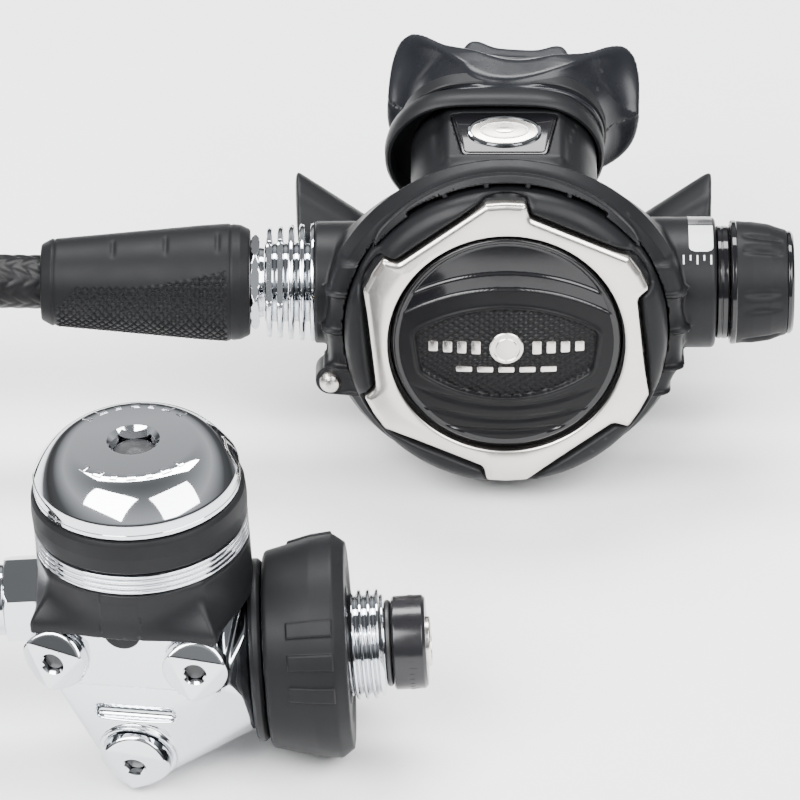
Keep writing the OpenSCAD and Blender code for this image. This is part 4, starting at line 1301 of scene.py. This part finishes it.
def make_knob():
    """Glossy neck, soft knob with finger flutes and a glossy end cap."""
    piece("knob_neck_ring", lathe(
        [(3.05, 44.3), (9.4, 44.3), (9.4, 46.2), (12.0, 46.2), (12.4, 46.5), (12.4, 47.2),
         (12.25, 47.3), (12.25, 47.5), (12.4, 47.6), (12.4, 48.6), (12.0, 49.0), (3.05, 49.0)],
        144, 0.12, 3, closed=True), BARREL, "gloss_black", replaces=["knob_neck"])
    n = 432
    a = angles(n)
    outline = filleted([(13.45, 50.6, 0), (13.3, 54), (12.7, 58), (11.5, 61.6), (11.3, 61.8)], 1.5, 5)
    zs, rs = np.array([p[1] for p in outline]), np.array([p[0] for p in outline])

    def radius(z):
        env = max(0.0, 1 - ((z - 56.2) / 4.6) ** 2) ** 0.8
        wave = 0
        for k in range(6):
            for off, depth in ((-9, 0.62), (9, 0.62), (0, -0.22)):
                middle = math.radians(60 * k + 25 + off)
                d = np.degrees((a - middle + math.pi) % (2 * math.pi) - math.pi)
                wave = wave + depth * np.exp(-(d / 3.2) ** 2)
        return float(np.interp(z, zs, rs)) - env * wave

    rings = [circle(3.05, 49.3, n), circle(12.6, 49.3, n), circle(13.45, 50.5, n)]
    rings += [circle(radius(z), z, n) for z in np.linspace(50.6, 61.7, 60)]
    rings += [circle(r, z, n) for r, z in (
        (10.9, 61.75), (8.25, 61.75), (8.25, 61.35), (3.05, 55.1))]
    piece("adjust_knob_grip", loft(rings, closed=True), BARREL, "soft_black", body="knob",
          replaces=["adjust_knob"], crease=45)
    piece("adjust_knob_ring", lathe(
        [(12.7, 49.25), (13.3, 49.25), (13.62, 49.6), (13.62, 50.4), (13.4, 50.65), (12.7, 50.65)],
        144, 0.15, 3, closed=True), BARREL, "gloss_black", body="knob")
    piece("knob_end_cap_gloss", lathe(
        [(0.01, 61.45), (8.2, 61.45), (11.0, 61.7), (11.35, 61.9), (11.3, 62.6), (10.7, 63.15),
         (9.4, 63.3), (8.0, 63.0), (6.8, 62.6), (0.01, 62.5)], 144, 0.3), BARREL, "gloss_black",
        body="knob", replaces=["knob_end_cap"])


def both_sides(points, edge):
    """Hull fields of the points and of their mirror image in x."""
    return [hull_field([(side * x, y, z) for x, y, z in points], edge) for side in (-1, 1)]


def make_tee():
    """Exhaust tee: collar under the case and two swept, hollow wings."""
    wings = both_sides([
        (1, 38.2, -12), (1, 38.2, -33), (1, 51.5, -34), (1, 52.5, -14),
        (47.0, 58.6, 15.6), (46.2, 60.6, 14.0), (47.2, 59.2, 3), (46.8, 56, -0.5),
        (46.6, 46.5, -0.6), (46.6, 45.2, 5), (46.8, 50, 12.5)], 1.6)
    hollows = both_sides([
        (1, 39.8, -13.4), (1, 39.8, -31.4), (1, 50.2, -32.2), (1, 51.0, -15.6),
        (48.6, 57.8, 12.8), (48.6, 58.4, 3), (48.6, 55.2, 1.0), (48.6, 47.4, 1.0),
        (48.6, 46.8, 5)], 1.2)

    def field(x, y, z):
        body = smooth_min(wings[0](x, y, z), wings[1](x, y, z), 2.0)
        body = smooth_min(body, rod(x, z - EXHAUST_Z, y, 15.3, 36.15, 44, 0.8), 3.0)
        v, s = tube_axes(y, z)
        body = np.maximum(body, -oval_rod(x, v, s, 14.2, 7.6, -10, 60, 0.2))
        hollow = np.minimum(np.minimum(hollows[0](x, y, z), hollows[1](x, y, z)),
                            rod(x, z - EXHAUST_Z, y, 13.6, 34, 42.5, 0.3))
        return smooth_max(body, -hollow, 0.5)

    cast("exhaust_tee_wings", field, (-48.8, 35.5, -36.5), (48.8, 62, 16.5), 0.5, SECOND, "matte_black",
         replaces=["exhaust_tee"])


def make_mouthpiece():
    """Silicone mouthpiece: sleeve flaring into a curved flange, with bite tabs behind."""

    def field(x0, y, s0):
        v = -y
        x = (x0 - MOUTH_X * np.clip((s0 - 34) / 8, 0, 1)) - MOUTH_SKEW * np.maximum(s0 - 44, 0)
        s = s0 + MOUTH_SKEW * x * np.clip((s0 - 36) / 6, 0, 1)
        lift = 0.0021 * (0.6 * v + 0.4 * np.sqrt(v * v + 4))
        edge = 41.2 - 0.05 * np.maximum(v, 0) + (0.0045 + lift) * x * x
        outline = (np.abs(x / 28.4) ** 2.8 + np.abs(v / 14.9) ** 2.8 + 1e-6) ** (1 / 2.8)
        plate = smooth_max(np.abs(s - edge + 1.1) * 0.82 - 1.1, (outline - 1) * 15, 0.9)
        sleeve = oval_rod(x, v, s, 14.5, OVAL, 33.9, 45, 0.9)
        bead = oval_rod(x, v, s, 15.0, OVAL, 33.9, 35.2, 0.6)
        body = smooth_min(sleeve, plate, 6.5)
        body = smooth_min(body, bead, 0.5)
        neck = oval_rod(x, v, s, 11.5, 8.5, 42, 48.5, 1.0)
        body = smooth_min(body, neck, 1.5)
        ring = np.hypot(x, s - 113)
        tabs = smooth_max(np.abs(ring - 59.6) - 1.3, np.abs(v + 1) - 5.2, 0.8)
        tabs = smooth_max(tabs, np.maximum(10.8 - np.abs(x), np.abs(x) - 21.0), 0.8)
        shelf = smooth_max(np.abs(s - 49) - 6.0, np.abs(v + 1) - 1.5, 0.8)
        shelf = smooth_max(shelf, np.maximum(9.5 - np.abs(x), np.abs(x) - 21.0), 0.8)
        body = smooth_min(body, smooth_min(tabs, shelf, 1.0), 1.0)
        crest = 52.9 + 2.0 * np.exp(-((np.abs(x) - 9.2) / 3.2) ** 2)
        bridge = smooth_max(np.abs(s - (crest + 41) / 2) - (crest - 41) / 2, np.abs(v - 8.8) - 1.9, 1.4)
        bridge = smooth_max(bridge, np.abs(x) - 12.6 + 0.25 * np.maximum(s - 50, 0), 1.6)
        body = smooth_min(body, bridge, 1.6)
        hole = np.minimum(oval_rod(x, v, s, 6.5, OVAL, 30, 60, 0.3),
                          oval_rod(x0, v, s0, 12.6, OVAL, 28, 38.1, 0.2))
        body = smooth_max(body, -hole, 0.5)
        mould = np.maximum(np.abs(v) - 0.09, 20 - np.abs(x))
        return smooth_max(body, -np.maximum(mould, -body - 0.16), 0.12)

    cast("mouthpiece_bite", field, (-30.5, -16.8, 33), (33.5, 16.8, 63), 0.5, TUBE, "silicone",
         replaces=["mouthpiece"])


def make_tube_fittings():
    """Clamp strap round the mouthpiece sleeve and the loose collar ring on the tube."""
    n = 240

    def oval(r, s, x=0.0):
        a = angles(n)
        c = np.cos(a)
        return np.stack([x + r * c + OVAL * np.tanh(c * 6), r * np.sin(a), np.full(n, s)], 1)

    strap = loft([oval(r, s) for r, s in ((14.72, 35.8), (15.4, 35.8), (15.6, 36.1), (15.6, 39.0),
                                          (15.4, 39.3), (14.72, 39.3))], closed=True)
    head = moved(prism([(-2.6, -2.3), (2.6, -2.3), (2.6, 2.3), (-2.6, 2.3)], 0, 2.6, 0.5, 3),
                 shift(7.5, 15.2, 37.5) @ turn("X", -90))
    piece("mouthpiece_clamp_strap", together(strap, head), TUBE, "matte_black",
          replaces=["mouthpiece_clamp"])
    side = -2.0
    rings = [oval(r, s, side * share) for r, s, share in (
        (15.75, 27.6, 1), (16.4, 27.45, 1), (16.95, 27.9, 1), (17.05, 30.4, 1), (16.6, 32.6, 1),
        (15.9, 33.4, 1), (13.6, 33.45, 0.3), (12.75, 33.3, 0), (12.75, 32.4, 0), (13.6, 32.3, 0.3),
        (15.2, 32.2, 1), (15.6, 31.6, 1))]
    piece("tube_collar_ring", loft(rings, closed=True), TUBE, "matte_black", replaces=["tube_collar"],
          crease=50)


make_camera()
make_finishes()
make_hose()
make_studio()
make_floor()
dress_cad()
make_cap()
make_stack()
make_shroud()
make_first_body()
make_plugs()
make_handwheel()
make_connector()
make_hose_fittings()
make_grip()
make_swivel()
make_trim_ring()
make_button()
make_cover()
make_case()
make_emblem()
make_window()
make_knob()
make_tee()
make_mouthpiece()
make_tube_fittings()
squash_springs()
